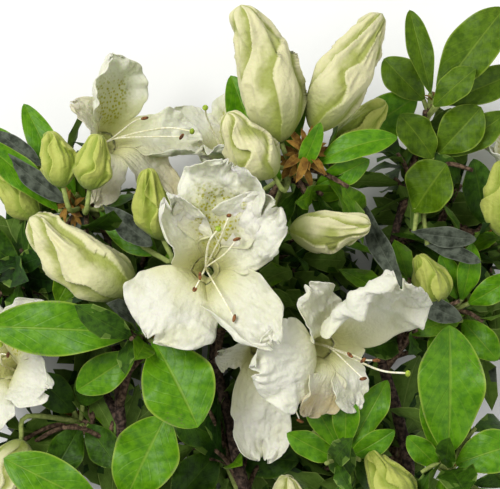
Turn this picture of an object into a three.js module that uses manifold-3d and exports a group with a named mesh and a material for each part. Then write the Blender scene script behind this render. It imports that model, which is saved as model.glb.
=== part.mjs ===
// A cut flowering branch of a white azalea, lying on a flat surface.
// Millimetres. +X runs to the right of the branch, +Y along its growth, +Z up from the surface.
import * as THREE from "three";
import Module from "manifold-3d";

const wasm = await Module();
wasm.setup();

// Driving dimensions
const CLEARANCE = 0.3; // between pieces that touch
const EYE_HEIGHT = 700; // of the eye that the layout below is seen from
const MIDDLE_HEIGHT = 60; // height at which the layout's x and y are true
const FLOOR_BAND = 7; // leaves lower than this press flat on the surface
const TWIG_SIDES = 3;
const LIMB_SIDES = 6;
const STEM_RADII = [1.6, 1.15]; // of a spray, from its bough to its tip
const TWIG_RADII = [1.1, 0.8];
const PEDICEL_RADII = [1.15, 0.95]; // of the stalk under a bloom or bud
const STALK_RADII = [0.9, 0.7]; // of the stalk under a leaf set by hand
const LEAF_THICKNESS = 0.9;
const BLADE_STATIONS = [0.3, 0.7]; // along a leaf set by hand
const LEAF_STATIONS = [0.5]; // along a leaf of the rule
const BLADE_FOLD = 0.22; // rise of the margins against half the width
const WHORL = {
  tilt: [38, 82], reach: [0.62, 1.12], width: [0.36, 0.46], sag: [0.05, 0.25], roll: 30, fold: 0.25,
}; // of the leaves round a shoot's tip, each between its two ends
const TWIG_LEAN = 0.75; // of a side twig along its stem, against one outward
const TWIG_REACH = [0.6, 1]; // of a side twig, as a share of its spray's spread
const TWIG_PLACES = [0.35, 0.85]; // along the stem, between which the side twigs spring
const PETAL_THICKNESS = 0.9;
const STAMEN_RADIUS = 0.5;
const STIGMA_RADIUS = 0.6;
const ROOT_STEP = 1.9; // between the roots of neighbouring stalks
const GRID = 0.001; // finished vertices lie on this grid
const LEAF_STEP = 1.3; // between the roots of neighbouring leaves
const FUSING_SHIFT = 0.02;
const FUSING_ROUNDS = 20;
const SLIVER = 0.08; // edges shorter than this are collapsed
const GOLDEN_ANGLE = 2.399963;
const PETAL_COUNT = 5;
const ROOM = 6.8; // least distance between sample points of neighbouring leaves
const SEED = 20261;

// The limbs. A path holds the points after the place on the parent where the limb springs.
const MAIN_STEM = {
  name: "main_stem", path: [[38, -168, 46], [34, -148, 47], [28, -130, 50]], radii: [4.6, 3.9],
};
const BOUGHS = [
  { name: "bough_center", parent: "main_stem", at: 0.98, radii: [2.7, 2.0],
    path: [[10, -114, 52], [-2, -93, 54], [-8, -67, 52], [-14, -44, 54]] },
  { name: "bough_right", parent: "main_stem", at: 0.92, radii: [2.8, 2.0],
    path: [[50, -112, 48], [61, -90, 50], [57, -66, 50], [51, -46, 50]] },
  { name: "bough_left", parent: "main_stem", at: 0.8, radii: [2.8, 1.9],
    path: [[2, -128, 44], [-28, -112, 44], [-47, -88, 48], [-50, -62, 54]] },
  { name: "bough_center_upper", parent: "bough_center", at: 1, radii: [1.9, 1.5],
    path: [[-12, -24, 48], [-4, 0, 48], [7, 17, 56]] },
  { name: "bough_right_upper", parent: "bough_right", at: 1, radii: [1.9, 1.4],
    path: [[53, -18, 42], [57, 4, 38], [62, 24, 38]] },
  { name: "bough_left_upper", parent: "bough_left", at: 1, radii: [1.8, 1.4],
    path: [[-52, -36, 50], [-54, -12, 44], [-56, 4, 42]] },
  { name: "bough_low_center", parent: "bough_right", at: 0.12, radii: [1.9, 1.4],
    path: [[38, -108, 60], [35, -94, 68]] },
  { name: "bough_low_right", parent: "bough_right", at: 0.4, radii: [1.9, 1.4],
    path: [[68, -99, 62], [72, -92, 70]] },
  { name: "bough_low_left", parent: "bough_left", at: 0.45, radii: [1.9, 1.4],
    path: [[-38, -110, 56], [-48, -104, 62]] },
  { name: "bough_far_left", parent: "bough_left", at: 0.93, radii: [1.7, 1.2],
    path: [[-64, -44, 36], [-76, -24, 30]] },
];

// The open blooms. throat and axis place the mouth and roll turns the blotched upper petal. Each petal
// has its opening from the axis, its curl, its fold along the middle, its size, how far it stands aside
// from its fifth of the round in degrees, and half its width as a share of its length.
const petal = (open, curl, fold, size = 1, swing = 0, broad = 0.45) => (
  { open, curl, fold, size, swing, broad });
const BLOOMS = [
  { name: "bloom_front", throat: [-17, -9, 92], axis: [-0.06, 0.1, 1], roll: 6, lobe: 31,
    petals: [petal(54, -6, 0.3, 1.4, -12, 0.4), petal(46, -20, 0.5, 1.04, -39, 0.32),
      petal(72, 24, -0.1, 0.88, 6, 0.68), petal(64, 14, 0.3, 1.2, 12, 0.38),
      petal(50, 6, 0.35, 1.2, 24, 0.38)],
    anthers: [[-8, 11, 112], [-5, 2, 110], [-19, -12, 104], [-21, -17, 103], [-6, -28, 108]],
    stigma: [-12, 6, 114] },
  { name: "bloom_right", throat: [30, -39, 91], axis: [0.5, -0.1, 0.8], roll: 22, lobe: 33,
    petals: [petal(44, -16, 0.3, 1.28, 4, 0.6), petal(66, 10, 0.3, 0.84, -12, 0.36),
      petal(84, 26, -0.15, 0.86, -18, 0.6), petal(84, 50, 0.2, 0.66, -26, 0.46),
      petal(74, 50, 0.3, 0.6, -56, 0.42)],
    anthers: [[38, -42, 112], [43, -44, 112], [48, -44, 110], [43, -51, 108]],
    stigma: [60, -49, 116] },
  { name: "bloom_low", throat: [5, -41, 64], axis: [0.05, -0.55, 0.83], roll: 0, lobe: 31,
    petals: [petal(60, 20, 0.3, 0.6), petal(40, 20, 0.3, 0.56, -6), petal(56, 10, 0.3, 1.16, 36, 0.42),
      petal(40, 26, 0.2, 0.56, 20, 0.36), petal(36, 20, 0.3, 0.56, 6)],
    anthers: [[19, -67, 80]], stigma: [14, -56, 82] },
  { name: "bloom_upper_left", throat: [-53, 40, 54], axis: [0.55, 0.3, 0.66], roll: 4, lobe: 27,
    petals: [petal(50, 0, 0.35, 1.04, 16, 0.56), petal(60, 20, 0.3, 0.64, -8, 0.4),
      petal(78, 40, 0.3, 0.94, 12, 0.34), petal(80, 20, 0.3, 1.04, 8, 0.36),
      petal(60, 14, 0.4, 1.12, -26, 0.4)],
    anthers: [[-40, 48, 74], [-26, 41, 76]], stigma: [-22, 43, 72] },
  { name: "bloom_behind", throat: [-10, 34, 32], axis: [-0.1, 0.8, 0.4], roll: 10, lobe: 24,
    petals: [petal(44, 10, 0.3), petal(50, 20, 0.3), petal(52, 26, -0.2), petal(50, 20, 0.3),
      petal(46, 12, 0.3)],
    anthers: [], stigma: [-17, 52, 54] },
  { name: "bloom_left_edge", throat: [-94, -46, 50], axis: [-0.3, 0.22, 0.8], roll: 40, lobe: 25,
    petals: [petal(66, 20, 0.3), petal(72, 36, -0.3), petal(70, 20, 0.4, 1.06), petal(66, 30, -0.2),
      petal(64, 16, 0.3)],
    anthers: [[-92, -42, 70]], stigma: [-95, -38, 70] },
  { name: "bloom_right_edge", throat: [100, 26, 26], axis: [0.3, 0.7, 0.4], roll: 0, lobe: 20,
    petals: [petal(40, 10, 0.3), petal(46, 20, 0.3), petal(50, 20, -0.2), petal(44, 14, 0.3),
      petal(40, 10, 0.3)],
    anthers: [], stigma: [104, 42, 38] },
];
const TUBE = { length: 15, foot: 2.1, mouth: 6.2, floor: 5 };
const PETAL_COLUMNS = 4;
const PETAL_STATIONS = [0, 0.22, 0.62, 1]; // along a petal
const PETAL_GAP = 0.7; // half the gap between neighbouring petals
const CLEFT = 0.22; // petals are joined up to here
const BEND_END = 0.42; // a petal has bent out to its opening up to here
const CLAW = { length: 5, halfWidth: 4.2, depth: 4, angle: 14, inset: 1.6 }; // of a petal, in the mouth
const WIDEST = 0.62; // place along a petal where it is widest

// The closed buds, from foot to point, with the greatest width of each. Every second side is a groove,
// and the sides turn a little toward the point.
const BUD_SIDES = 8;
const BUD_STATIONS = [0.001, 0.12, 0.32, 0.58, 0.84];
const BUD_GROOVE = 0.9; // radius in a groove, as a share of that on a ridge
const BUD_TURN = 0.6; // radians from foot to point
const BUDS = [
  { name: "bud_top_left", foot: [12, 39, 84], point: [-4, 91, 96], width: 23 },
  { name: "bud_top_right", foot: [24, 43, 80], point: [50, 88, 84], width: 19 },
  { name: "bud_top_front", foot: [9, 26, 92], point: [-9, 50, 104], width: 17 },
  { name: "bud_side", foot: [15, 5, 84], point: [46, 8, 88], width: 15 },
  { name: "bud_top_behind", foot: [31, 30, 58], point: [51, 55, 56], width: 14 },
  { name: "bud_left_large", foot: [-44, -18, 80], point: [-84, 10, 82], width: 22 },
  { name: "bud_left_first", foot: [-71, 22, 80], point: [-77, 43, 86], width: 13 },
  { name: "bud_left_second", foot: [-61, 21, 82], point: [-58, 42, 90], width: 13 },
  { name: "bud_left_green", foot: [-33, 2, 78], point: [-39, 29, 88], width: 13.5 },
  { name: "bud_left_edge", foot: [-80, 10, 50], point: [-101, 29, 52], width: 13 },
  { name: "bud_right_small", foot: [72, -22, 58], point: [64, -4, 66], width: 13 },
  { name: "bud_right_edge", foot: [98, 2, 54], point: [95, 32, 62], width: 13 },
  { name: "bud_low_left", foot: [-87, -74, 56], point: [-93, -97, 60], width: 15 },
  { name: "bud_low_center", foot: [10, -118, 66], point: [14, -88, 76], width: 19 },
  { name: "bud_low_right", foot: [62, -100, 88], point: [45, -79, 80], width: 14 },
];

// The sprays. Each grows from its bough to tip and carries the listed flowers. A blade is a leaf
// set by hand, from its root to its point, with its width and its roll about its own length.
const blade = (root, point, width, roll = 0, sag = 0.08) => ({ root, point, width, roll, sag });
const SPRAYS = [
  { name: "foliage_center_front", bough: "bough_center", at: 0.97, tip: [-6, -27, 66], twigs: 2, spread: 20,
    whorl: 4, leaf: 26, flowers: ["bloom_front", "bloom_right", "bloom_low"], blades: [] },
  { name: "foliage_center_top", bough: "bough_center_upper", at: 1, tip: [17, 30, 74], twigs: 3, spread: 24,
    whorl: 6, leaf: 30,
    flowers: ["bud_top_left", "bud_top_right", "bud_top_front", "bud_side", "bud_top_behind", "bloom_behind"],
    blades: [
      blade([17, 34, 72], [10, 77, 74], 17, -8), blade([6, 28, 66], [-8, 64, 70], 14, 10),
      blade([24, 30, 80], [55, 43, 86], 11, -22, 0.2), blade([24, 22, 76], [45, 33, 80], 10, 20),
      blade([28, 34, 62], [64, 59, 58], 17, 10), blade([42, 18, 62], [56, -17, 84], 8, 30),
      blade([18, 26, 82], [27, 46, 92], 7, 10), blade([12, 24, 84], [3, 34, 96], 6, -10),
    ] },
  { name: "foliage_left_front", bough: "bough_left", at: 1, tip: [-39, -34, 76], twigs: 2, spread: 20,
    whorl: 4, leaf: 28, flowers: ["bud_left_large"],
    blades: [
      blade([-42, -34, 78], [-100, -30, 80], 20, 6), blade([-37, -36, 80], [-18, -68, 92], 27, -8),
      blade([-42, -40, 70], [-66, -56, 66], 14, 0),
    ] },
  { name: "foliage_left_top", bough: "bough_left_upper", at: 1, tip: [-65, 14, 54], twigs: 3, spread: 24,
    whorl: 6, leaf: 30, flowers: ["bud_left_first", "bud_left_second", "bud_left_edge", "bud_left_green",
      "bloom_upper_left"],
    blades: [
      blade([-68, 16, 56], [-86, 54, 50], 11, 10), blade([-70, 14, 50], [-98, 44, 42], 10, -10),
      blade([-58, 14, 60], [-36, -4, 68], 12, 14), blade([-72, 12, 58], [-102, 40, 66], 12, 24),
      blade([-66, 18, 60], [-78, 42, 62], 8, 20),
    ] },
  { name: "foliage_left_edge", bough: "bough_far_left", at: 1, tip: [-86, -12, 32], twigs: 3, spread: 24,
    whorl: 6, leaf: 34, flowers: [],
    blades: [blade([-86, -10, 34], [-112, 12, 38], 15, 0), blade([-84, -8, 40], [-70, 12, 46], 13, 0)] },
  { name: "foliage_left_low", bough: "bough_left", at: 0.78, tip: [-66, -66, 40], twigs: 3, spread: 26,
    whorl: 7, leaf: 33, flowers: ["bloom_left_edge", "bud_low_left"],
    blades: [
      blade([-66, -64, 44], [-82, -50, 52], 13, 6), blade([-64, -62, 46], [-58, -46, 56], 12, 0),
      blade([-64, -68, 44], [-76, -88, 52], 14, -10), blade([-62, -68, 44], [-50, -84, 54], 13, 0),
    ] },
  { name: "foliage_bottom_left", bough: "bough_low_left", at: 1, tip: [-50, -100, 70], twigs: 2, spread: 22,
    whorl: 6, leaf: 36, flowers: [],
    blades: [
      blade([-48, -99, 72], [-33, -65, 76], 24, -6), blade([-54, -101, 72], [-94, -82, 76], 18, 14),
      blade([-50, -104, 68], [-70, -126, 56], 18, 0),
    ] },
  { name: "foliage_bottom_center", bough: "bough_center", at: 0.4, tip: [-12, -76, 34], twigs: 4, spread: 30,
    whorl: 7, leaf: 36, flowers: ["bud_low_center"],
    blades: [
      blade([-12, -78, 38], [-28, -98, 46], 17, 0), blade([-10, -74, 38], [-30, -66, 44], 15, 0),
      blade([-8, -78, 40], [18, -84, 50], 16, 0),
    ] },
  { name: "foliage_low_right", bough: "bough_low_center", at: 1, tip: [36, -80, 76], twigs: 2, spread: 18,
    whorl: 4, leaf: 26, flowers: [],
    blades: [
      blade([35, -79, 77], [20, -54, 80], 10, -8), blade([36, -78, 78], [37, -55, 84], 10, 0),
      blade([37, -79, 77], [51, -51, 78], 11, 8), blade([37, -81, 76], [55, -71, 82], 9, 10),
      blade([35, -82, 74], [14, -72, 78], 10, -10),
    ] },
  { name: "foliage_right_front", bough: "bough_low_right", at: 1, tip: [75, -84, 80], twigs: 2, spread: 20,
    whorl: 5, leaf: 30, flowers: ["bud_low_right"],
    blades: [
      blade([75, -82, 82], [77, -31, 88], 24, 4), blade([77, -84, 80], [103, -74, 84], 16, -14),
      blade([74, -83, 78], [66, -58, 78], 9, 10), blade([72, -85, 78], [60, -73, 84], 9, 0),
    ] },
  { name: "foliage_right_middle", bough: "bough_right", at: 0.97, tip: [79, -24, 44], twigs: 4, spread: 28,
    whorl: 7, leaf: 30, flowers: ["bud_right_small"],
    blades: [
      blade([80, -22, 48], [72, -4, 56], 9, 0), blade([80, -22, 50], [86, 0, 60], 9, 10),
      blade([82, -23, 50], [102, -12, 60], 10, 0), blade([78, -28, 46], [58, -16, 52], 12, 10),
      blade([80, -28, 46], [94, -44, 54], 12, 0), blade([76, -28, 46], [70, -48, 56], 11, 0),
    ] },
  { name: "foliage_right_edge", bough: "bough_right_upper", at: 0.6, tip: [90, 4, 32], twigs: 4, spread: 26,
    whorl: 7, leaf: 32, flowers: ["bud_right_edge", "bloom_right_edge"],
    blades: [blade([90, 6, 36], [84, 32, 46], 13, 0), blade([92, 2, 36], [116, -6, 40], 14, 0)] },
  { name: "foliage_right_upper", bough: "bough_right_upper", at: 0.8, tip: [70, 33, 42], twigs: 3, spread: 20,
    whorl: 5, leaf: 28, flowers: [],
    blades: [
      blade([71, 34, 46], [88, 52, 52], 17, 0), blade([62, 12, 56], [75, 30, 66], 21, -28),
      blade([70, 32, 48], [58, 50, 56], 14, 10), blade([73, 33, 44], [98, 50, 48], 12, 10),
    ] },
  { name: "foliage_top_right", bough: "bough_right_upper", at: 1, tip: [69, 54, 50], twigs: 2, spread: 18,
    whorl: 4, leaf: 28, flowers: [],
    blades: [
      blade([70, 55, 52], [97, 90, 58], 19, -10), blade([69, 56, 52], [59, 89, 50], 10, 10),
      blade([67, 54, 48], [50, 70, 44], 14, 0), blade([71, 53, 48], [104, 66, 44], 13, 6),
      blade([69, 52, 54], [86, 66, 62], 12, -20),
    ] },
  { name: "foliage_under_center", bough: "bough_center_upper", at: 0.45, tip: [6, -8, 22], twigs: 5,
    spread: 32, whorl: 7, leaf: 34, flowers: [], blades: [] },
  { name: "foliage_under_low", bough: "bough_right", at: 0.55, tip: [40, -84, 24], twigs: 5, spread: 30,
    whorl: 7, leaf: 34, flowers: [], blades: [] },
  { name: "foliage_under_left", bough: "bough_left_upper", at: 0.5, tip: [-38, -20, 24], twigs: 5, spread: 30,
    whorl: 7, leaf: 34, flowers: [], blades: [] },
];
const CROWN_TOP = 62; // leaves of the rule end below this, under the two highest shoots

const COLORS = {
  bark: "#6b4431", stem: "#5d3a2c", leaf: "#4c7a1e", darkLeaf: "#2f5220", petal: "#f1f0e2", bud: "#dfe2b4",
};
const ROUGHNESS = { limb: 0.85, flower: 0.6, leaf: 0.5 };
const DARK_SPRAYS = ["foliage_left_edge", "foliage_left_low", "foliage_bottom_center", "foliage_under_center",
  "foliage_under_low", "foliage_under_left", "foliage_right_edge"];

const vector = (list) => new THREE.Vector3(...list);
const radians = THREE.MathUtils.degToRad;
const { lerp } = THREE.MathUtils;
const between = ([low, high], random) => lerp(low, high, random());

// A place seen at x, y on the middle plane, moved along its line of sight to height z.
function sighted([x, y, z]) {
  const scale = 1 - (z - MIDDLE_HEIGHT) / (EYE_HEIGHT - MIDDLE_HEIGHT);
  return new THREE.Vector3(x * scale, y * scale, z);
}

// Presses what would lie below the surface flat against it.
function pressed(point) {
  if (point.z < FLOOR_BAND) point.z = FLOOR_BAND * Math.exp((point.z - FLOOR_BAND) / FLOOR_BAND);
  return point;
}

// Even numbers from 0 to 1, the same run for the same seed.
function numbers(seed) {
  let state = (SEED * 7919 + seed * 104729) % 4294967296;
  const next = () => {
    state = (state * 1664525 + 1013904223) % 4294967296;
    return state / 4294967296;
  };
  next();
  next();
  return next;
}

function solidOf(vertices, triangles) {
  const vertProperties = new Float32Array(vertices.length * 3);
  vertices.forEach((vertex, index) => vertex.toArray(vertProperties, index * 3));
  let volume = 0;
  for (const [a, b, c] of triangles) {
    volume += vertices[a].dot(new THREE.Vector3().crossVectors(vertices[b], vertices[c]));
  }
  const outward = volume > 0 ? triangles : triangles.map(([a, b, c]) => [a, c, b]);
  return new wasm.Manifold(new wasm.Mesh({
    numProp: 3, vertProperties, triVerts: new Uint32Array(outward.flat()),
  }));
}

// Joins sections of equally many points into a closed solid. A section of one point is a tip.
function loft(sections) {
  const vertices = sections.flat();
  const triangles = [];
  let first = 0;
  for (let index = 0; index + 1 < sections.length; index += 1) {
    const here = sections[index].length;
    const there = sections[index + 1].length;
    const next = first + here;
    const count = Math.max(here, there);
    for (let i = 0; i < count; i += 1) {
      const j = (i + 1) % count;
      if (here > 1) triangles.push([first + i, first + j, there > 1 ? next + j : next]);
      if (there > 1) triangles.push([here > 1 ? first + i : first, next + j, next + i]);
    }
    first = next;
  }
  const cap = (start, count, flip) => {
    for (let i = 1; i + 1 < count; i += 1) {
      triangles.push(flip ? [start, start + i + 1, start + i] : [start, start + i, start + i + 1]);
    }
  };
  cap(0, sections[0].length, true);
  cap(first, sections.at(-1).length, false);
  return solidOf(vertices, triangles);
}

// The main body of a solid, without loose scraps, its closed hollows filled and slivers collapsed.
const largest = (solid) => solid.simplify(SLIVER).decompose()
  .sort((one, two) => two.volume() - one.volume())[0];

const onGrid = (value) => Math.round(value / GRID) * GRID;

// Whether two pairs of a solid's faces share one edge on the grid, which no solid may.
function doubledEdge(solid) {
  const { vertProperties, triVerts } = solid.getMesh();
  const keyOf = (vertex) => [0, 1, 2].map((axis) => onGrid(vertProperties[3 * vertex + axis])).join(" ");
  const uses = new Map();
  for (let face = 0; face < triVerts.length; face += 3) {
    const keys = [0, 1, 2].map((corner) => keyOf(triVerts[face + corner]));
    if (new Set(keys).size < 3) continue;
    keys.forEach((key, corner) => {
      const edge = [key, keys[(corner + 1) % 3]].sort().join(",");
      uses.set(edge, (uses.get(edge) || 0) + 1);
    });
  }
  return [...uses.values()].some((count) => count > 2);
}

function sidewaysOf(tangent) {
  const reference = Math.abs(tangent.z) < 0.85 ? new THREE.Vector3(0, 0, 1) : new THREE.Vector3(1, 0, 0);
  return new THREE.Vector3().crossVectors(tangent, reference).normalize();
}

// A round tapering limb along a smooth curve, grown on all sides by extra. Its rings don't turn about it.
function limbSolid(curve, radii, sides, steps, extra = 0) {
  const sections = [];
  const sideways = sidewaysOf(curve.getTangent(0));
  for (let step = 0; step <= steps; step += 1) {
    const t = step / steps;
    const tangent = curve.getTangent(t);
    sideways.addScaledVector(tangent, -sideways.dot(tangent)).normalize();
    const upward = new THREE.Vector3().crossVectors(sideways, tangent);
    const radius = lerp(radii[0], radii[1], t) + extra;
    const center = curve.getPoint(t);
    if (step === 0) center.addScaledVector(tangent, -extra);
    if (step === steps) center.addScaledVector(tangent, extra);
    const section = [];
    for (let side = 0; side < sides; side += 1) {
      const angle = (2 * Math.PI * side) / sides;
      section.push(center.clone().addScaledVector(sideways, radius * Math.cos(angle))
        .addScaledVector(upward, radius * Math.sin(angle)));
    }
    sections.push(section);
  }
  return loft(sections);
}

const smoothCurve = (points) => new THREE.CatmullRomCurve3(points, false, "catmullrom", 0.5);

// Leaves. A leaf runs from root to point, broad side facing its up direction, and arches by sag.
function leafFrame(root, point, facing, roll) {
  const along = point.clone().sub(root);
  const length = along.length();
  along.normalize();
  const across = new THREE.Vector3().crossVectors(along, facing).normalize().applyAxisAngle(along, roll);
  const up = new THREE.Vector3().crossVectors(across, along);
  return { root, length, along, across, up };
}

// Half of the leaf's width at v, as a share of its greatest.
function leafOutline(v) {
  const stalk = 0.06;
  if (v <= stalk) return 0.1;
  const q = (v - stalk) / (1 - stalk);
  return 0.1 * (1 - q) + 0.98 * Math.sin(Math.PI * q ** 1.15) ** 0.8;
}

function leafPlace(leaf, u, v) {
  const { root, length, along, across, up, width, sag, fold } = leaf;
  const half = (width / 2) * leafOutline(v);
  const rise = length * sag * (4 * v * (1 - v) * 0.5 - v * v * 0.5) + Math.abs(u) * half * fold;
  return pressed(root.clone().addScaledVector(along, length * v).addScaledVector(across, half * u)
    .addScaledVector(up, rise));
}

function leafSolid(leaf, stations) {
  const sections = [[leafPlace(leaf, 0, 0)]];
  for (const v of stations) {
    const left = leafPlace(leaf, -1, v);
    const right = leafPlace(leaf, 1, v);
    const middle = leafPlace(leaf, 0, v);
    const thick = LEAF_THICKNESS / 2;
    const raise = leaf.up.clone().multiplyScalar(thick);
    sections.push([left, middle.clone().add(raise), right, middle.clone().sub(raise)]);
  }
  sections.push([leafPlace(leaf, 0, 1)]);
  return loft(sections);
}

const leafSamples = (leaf) => [[0, 0.3], [0, 0.5], [-0.6, 0.6], [0.6, 0.6], [0, 0.75], [0, 1]]
  .map(([u, v]) => leafPlace(leaf, u, v));

// Buds. A grooved spindle from foot to point.
const budProfile = (v) => 0.1 + 0.9 * Math.sin(Math.PI * Math.min(1, v ** 0.72)) ** 0.85;
function budSolid(bud) {
  const foot = sighted(bud.foot);
  const point = sighted(bud.point);
  const axis = point.clone().sub(foot);
  const tangent = axis.clone().normalize();
  const sideways = sidewaysOf(tangent);
  const upward = new THREE.Vector3().crossVectors(sideways, tangent);
  const sections = BUD_STATIONS.map((v) => {
    const section = [];
    for (let side = 0; side < BUD_SIDES; side += 1) {
      const angle = (2 * Math.PI * side) / BUD_SIDES + BUD_TURN * v;
      const ridge = side % 2 ? BUD_GROOVE : 1;
      const radius = (bud.width / 2) * budProfile(v) * ridge;
      section.push(foot.clone().addScaledVector(axis, v)
        .addScaledVector(sideways, radius * Math.cos(angle))
        .addScaledVector(upward, radius * Math.sin(angle)));
    }
    return section;
  });
  sections.push([point]);
  return loft(sections);
}

// Blooms. The frame of a bloom: its axis and the direction of each petal round it.
function bloomFrame(bloom) {
  const axis = vector(bloom.axis).normalize();
  const top = new THREE.Vector3(0, 1, 0).addScaledVector(axis, -axis.y).normalize()
    .applyAxisAngle(axis, radians(-bloom.roll));
  const throat = sighted(bloom.throat);
  return { axis, top, throat, foot: throat.clone().addScaledVector(axis, -TUBE.length) };
}

// The part of the half width that is left to a petal at its margin, on the side of u. Neighbours meet
// midway between their middle lines, and keep a gap there.
function petalShare(bloom, index, u, radius) {
  const step = u > 0 ? 1 : -1;
  const next = bloom.petals[(index + step + PETAL_COUNT) % PETAL_COUNT];
  const apart = 360 / PETAL_COUNT + step * (next.swing - bloom.petals[index].swing);
  return Math.max(PETAL_GAP, Math.tan(radians(apart / 2)) * radius - PETAL_GAP);
}

// A petal's middle line leaves the mouth along the tube and bends out to its opening angle.
function petalPlace(bloom, frame, index, u, v) {
  const shape = bloom.petals[index];
  const azimuth = (2 * Math.PI * index) / PETAL_COUNT + radians(shape.swing);
  const outward = frame.top.clone().applyAxisAngle(frame.axis, azimuth);
  const length = bloom.lobe * shape.size;
  const start = radians(CLAW.angle);
  const steps = 12;
  let out = TUBE.mouth - CLAW.inset;
  let ahead = -CLAW.depth;
  let angle = start;
  for (let step = 0; step < steps * v; step += 1) {
    const part = Math.min(1, steps * v - step);
    const q = (step + 0.5) / steps;
    const bend = THREE.MathUtils.smoothstep(q, 0, BEND_END);
    angle = start + (radians(shape.open) - start) * bend + radians(shape.curl) * q * q;
    out += (Math.sin(angle) * (length + CLAW.length) * part) / steps;
    ahead += (Math.cos(angle) * (length + CLAW.length) * part) / steps;
  }
  const across = new THREE.Vector3().crossVectors(frame.axis, outward);
  const inner = outward.clone().multiplyScalar(-Math.cos(angle))
    .addScaledVector(frame.axis, Math.sin(angle));
  const half = petalHalfWidth(length, shape.broad, v);
  const lift = half * shape.fold * (u * u - 0.35 * v);
  const side = u * Math.min(half, petalShare(bloom, index, u, out - Math.cos(angle) * lift));
  return frame.throat.clone().addScaledVector(outward, out).addScaledVector(frame.axis, ahead)
    .addScaledVector(across, side).addScaledVector(inner, lift);
}

function petalHalfWidth(length, share, v) {
  const broad = length * share;
  if (v < WIDEST) return CLAW.halfWidth + (broad - CLAW.halfWidth) * Math.sin((Math.PI / 2) * (v / WIDEST));
  const q = (v - WIDEST) / (1 - WIDEST);
  return broad * Math.sqrt(Math.max(0.06, 1 - q * q));
}

function petalNormal(bloom, frame, index, u, v) {
  const delta = 0.01;
  const near = Math.max(delta, Math.min(1 - delta, v));
  const across = petalPlace(bloom, frame, index, u + delta, near)
    .sub(petalPlace(bloom, frame, index, u - delta, near));
  const along = petalPlace(bloom, frame, index, u, near + delta)
    .sub(petalPlace(bloom, frame, index, u, near - delta));
  return new THREE.Vector3().crossVectors(along, across).normalize();
}

// The corolla is one shell: five petals side by side, joined edge to edge up to the clefts, with an
// outer and an inner skin that meet along the free edges and a solid foot under the tube.
function corollaSolid(bloom, frame) {
  const vertices = [];
  const triangles = [];
  const add = (point) => vertices.push(point) - 1;
  const rows = [];
  PETAL_STATIONS.forEach((v, row) => {
    const joined = v <= CLEFT;
    const strips = bloom.petals.map((_, index) => {
      const strip = [];
      for (let column = 0; column <= PETAL_COLUMNS; column += 1) {
        const u = -1 + (2 * column) / PETAL_COLUMNS;
        const place = petalPlace(bloom, frame, index, u, v);
        const normal = petalNormal(bloom, frame, index, u, v);
        strip.push({ place, normal });
      }
      return strip;
    });
    if (joined) {
      strips.forEach((strip, index) => {
        const next = strips[(index + 1) % PETAL_COUNT];
        const seam = {
          place: strip.at(-1).place.clone().lerp(next[0].place, 0.5),
          normal: strip.at(-1).normal.clone().add(next[0].normal).normalize(),
        };
        strip[PETAL_COLUMNS] = seam;
        next[0] = seam;
      });
    }
    const free = !joined;
    const last = row === PETAL_STATIONS.length - 1;
    const seams = new Map();
    rows.push(strips.map((strip) => strip.map((spot, column) => {
      const rim = last || (free && (column === 0 || column === PETAL_COLUMNS));
      if (seams.has(spot)) return seams.get(spot);
      const half = PETAL_THICKNESS / 2;
      const front = add(spot.place.clone().addScaledVector(spot.normal, rim ? 0 : half));
      const back = rim ? front : add(spot.place.clone().addScaledVector(spot.normal, -half));
      seams.set(spot, { front, back });
      return seams.get(spot);
    })));
  });
  const face = (a, b, c) => {
    if (a !== b && b !== c && a !== c) triangles.push([a, b, c]);
  };
  for (let row = 0; row + 1 < rows.length; row += 1) {
    rows[row].forEach((strip, index) => {
      const above = rows[row + 1][index];
      for (let column = 0; column < PETAL_COLUMNS; column += 1) {
        const [a, b, c, d] = [strip[column], strip[column + 1], above[column + 1], above[column]];
        face(a.front, c.front, b.front);
        face(a.front, d.front, c.front);
        face(a.back, b.back, c.back);
        face(a.back, c.back, d.back);
      }
      // Where a joined seam meets a free edge, two small faces close the end of the cleft.
      const next = (index + 1) % PETAL_COUNT;
      const seam = strip[PETAL_COLUMNS];
      const left = above[PETAL_COLUMNS].front;
      const right = rows[row + 1][next][0].front;
      if (seam === rows[row][next][0] && left !== right) {
        face(seam.back, seam.front, left);
        face(seam.front, seam.back, right);
      }
    });
  }
  // The tube runs on from the first row to a closed foot.
  const outerRing = rows[0].flatMap((strip) => strip.slice(0, PETAL_COLUMNS).map((spot) => spot.back));
  const innerRing = rows[0].flatMap((strip) => strip.slice(0, PETAL_COLUMNS).map((spot) => spot.front));
  const footRing = outerRing.map((_, index) => {
    const angle = (2 * Math.PI * (index - PETAL_COLUMNS / 2)) / outerRing.length;
    const side = new THREE.Vector3().crossVectors(frame.axis, frame.top);
    return add(frame.foot.clone().addScaledVector(frame.top, TUBE.foot * Math.cos(angle))
      .addScaledVector(side, TUBE.foot * Math.sin(angle)));
  });
  const outerEnd = add(frame.foot.clone());
  const innerEnd = add(frame.foot.clone().addScaledVector(frame.axis, TUBE.floor));
  for (let i = 0; i < outerRing.length; i += 1) {
    const j = (i + 1) % outerRing.length;
    face(footRing[i], footRing[j], outerRing[j]);
    face(footRing[i], outerRing[j], outerRing[i]);
    face(outerEnd, footRing[j], footRing[i]);
    face(innerEnd, innerRing[i], innerRing[j]);
  }
  return solidOf(vertices, triangles);
}

function stamenSolid(frame, target, radius) {
  const root = frame.throat.clone().addScaledVector(frame.axis, TUBE.floor - TUBE.length - 1.5);
  const mouth = frame.throat.clone().lerp(target, 0.04);
  const bow = mouth.clone().lerp(target, 0.55).addScaledVector(frame.axis, 4);
  return limbSolid(smoothCurve([root, mouth, bow, target]), [radius, radius * 0.8], 3, 3);
}

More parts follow.
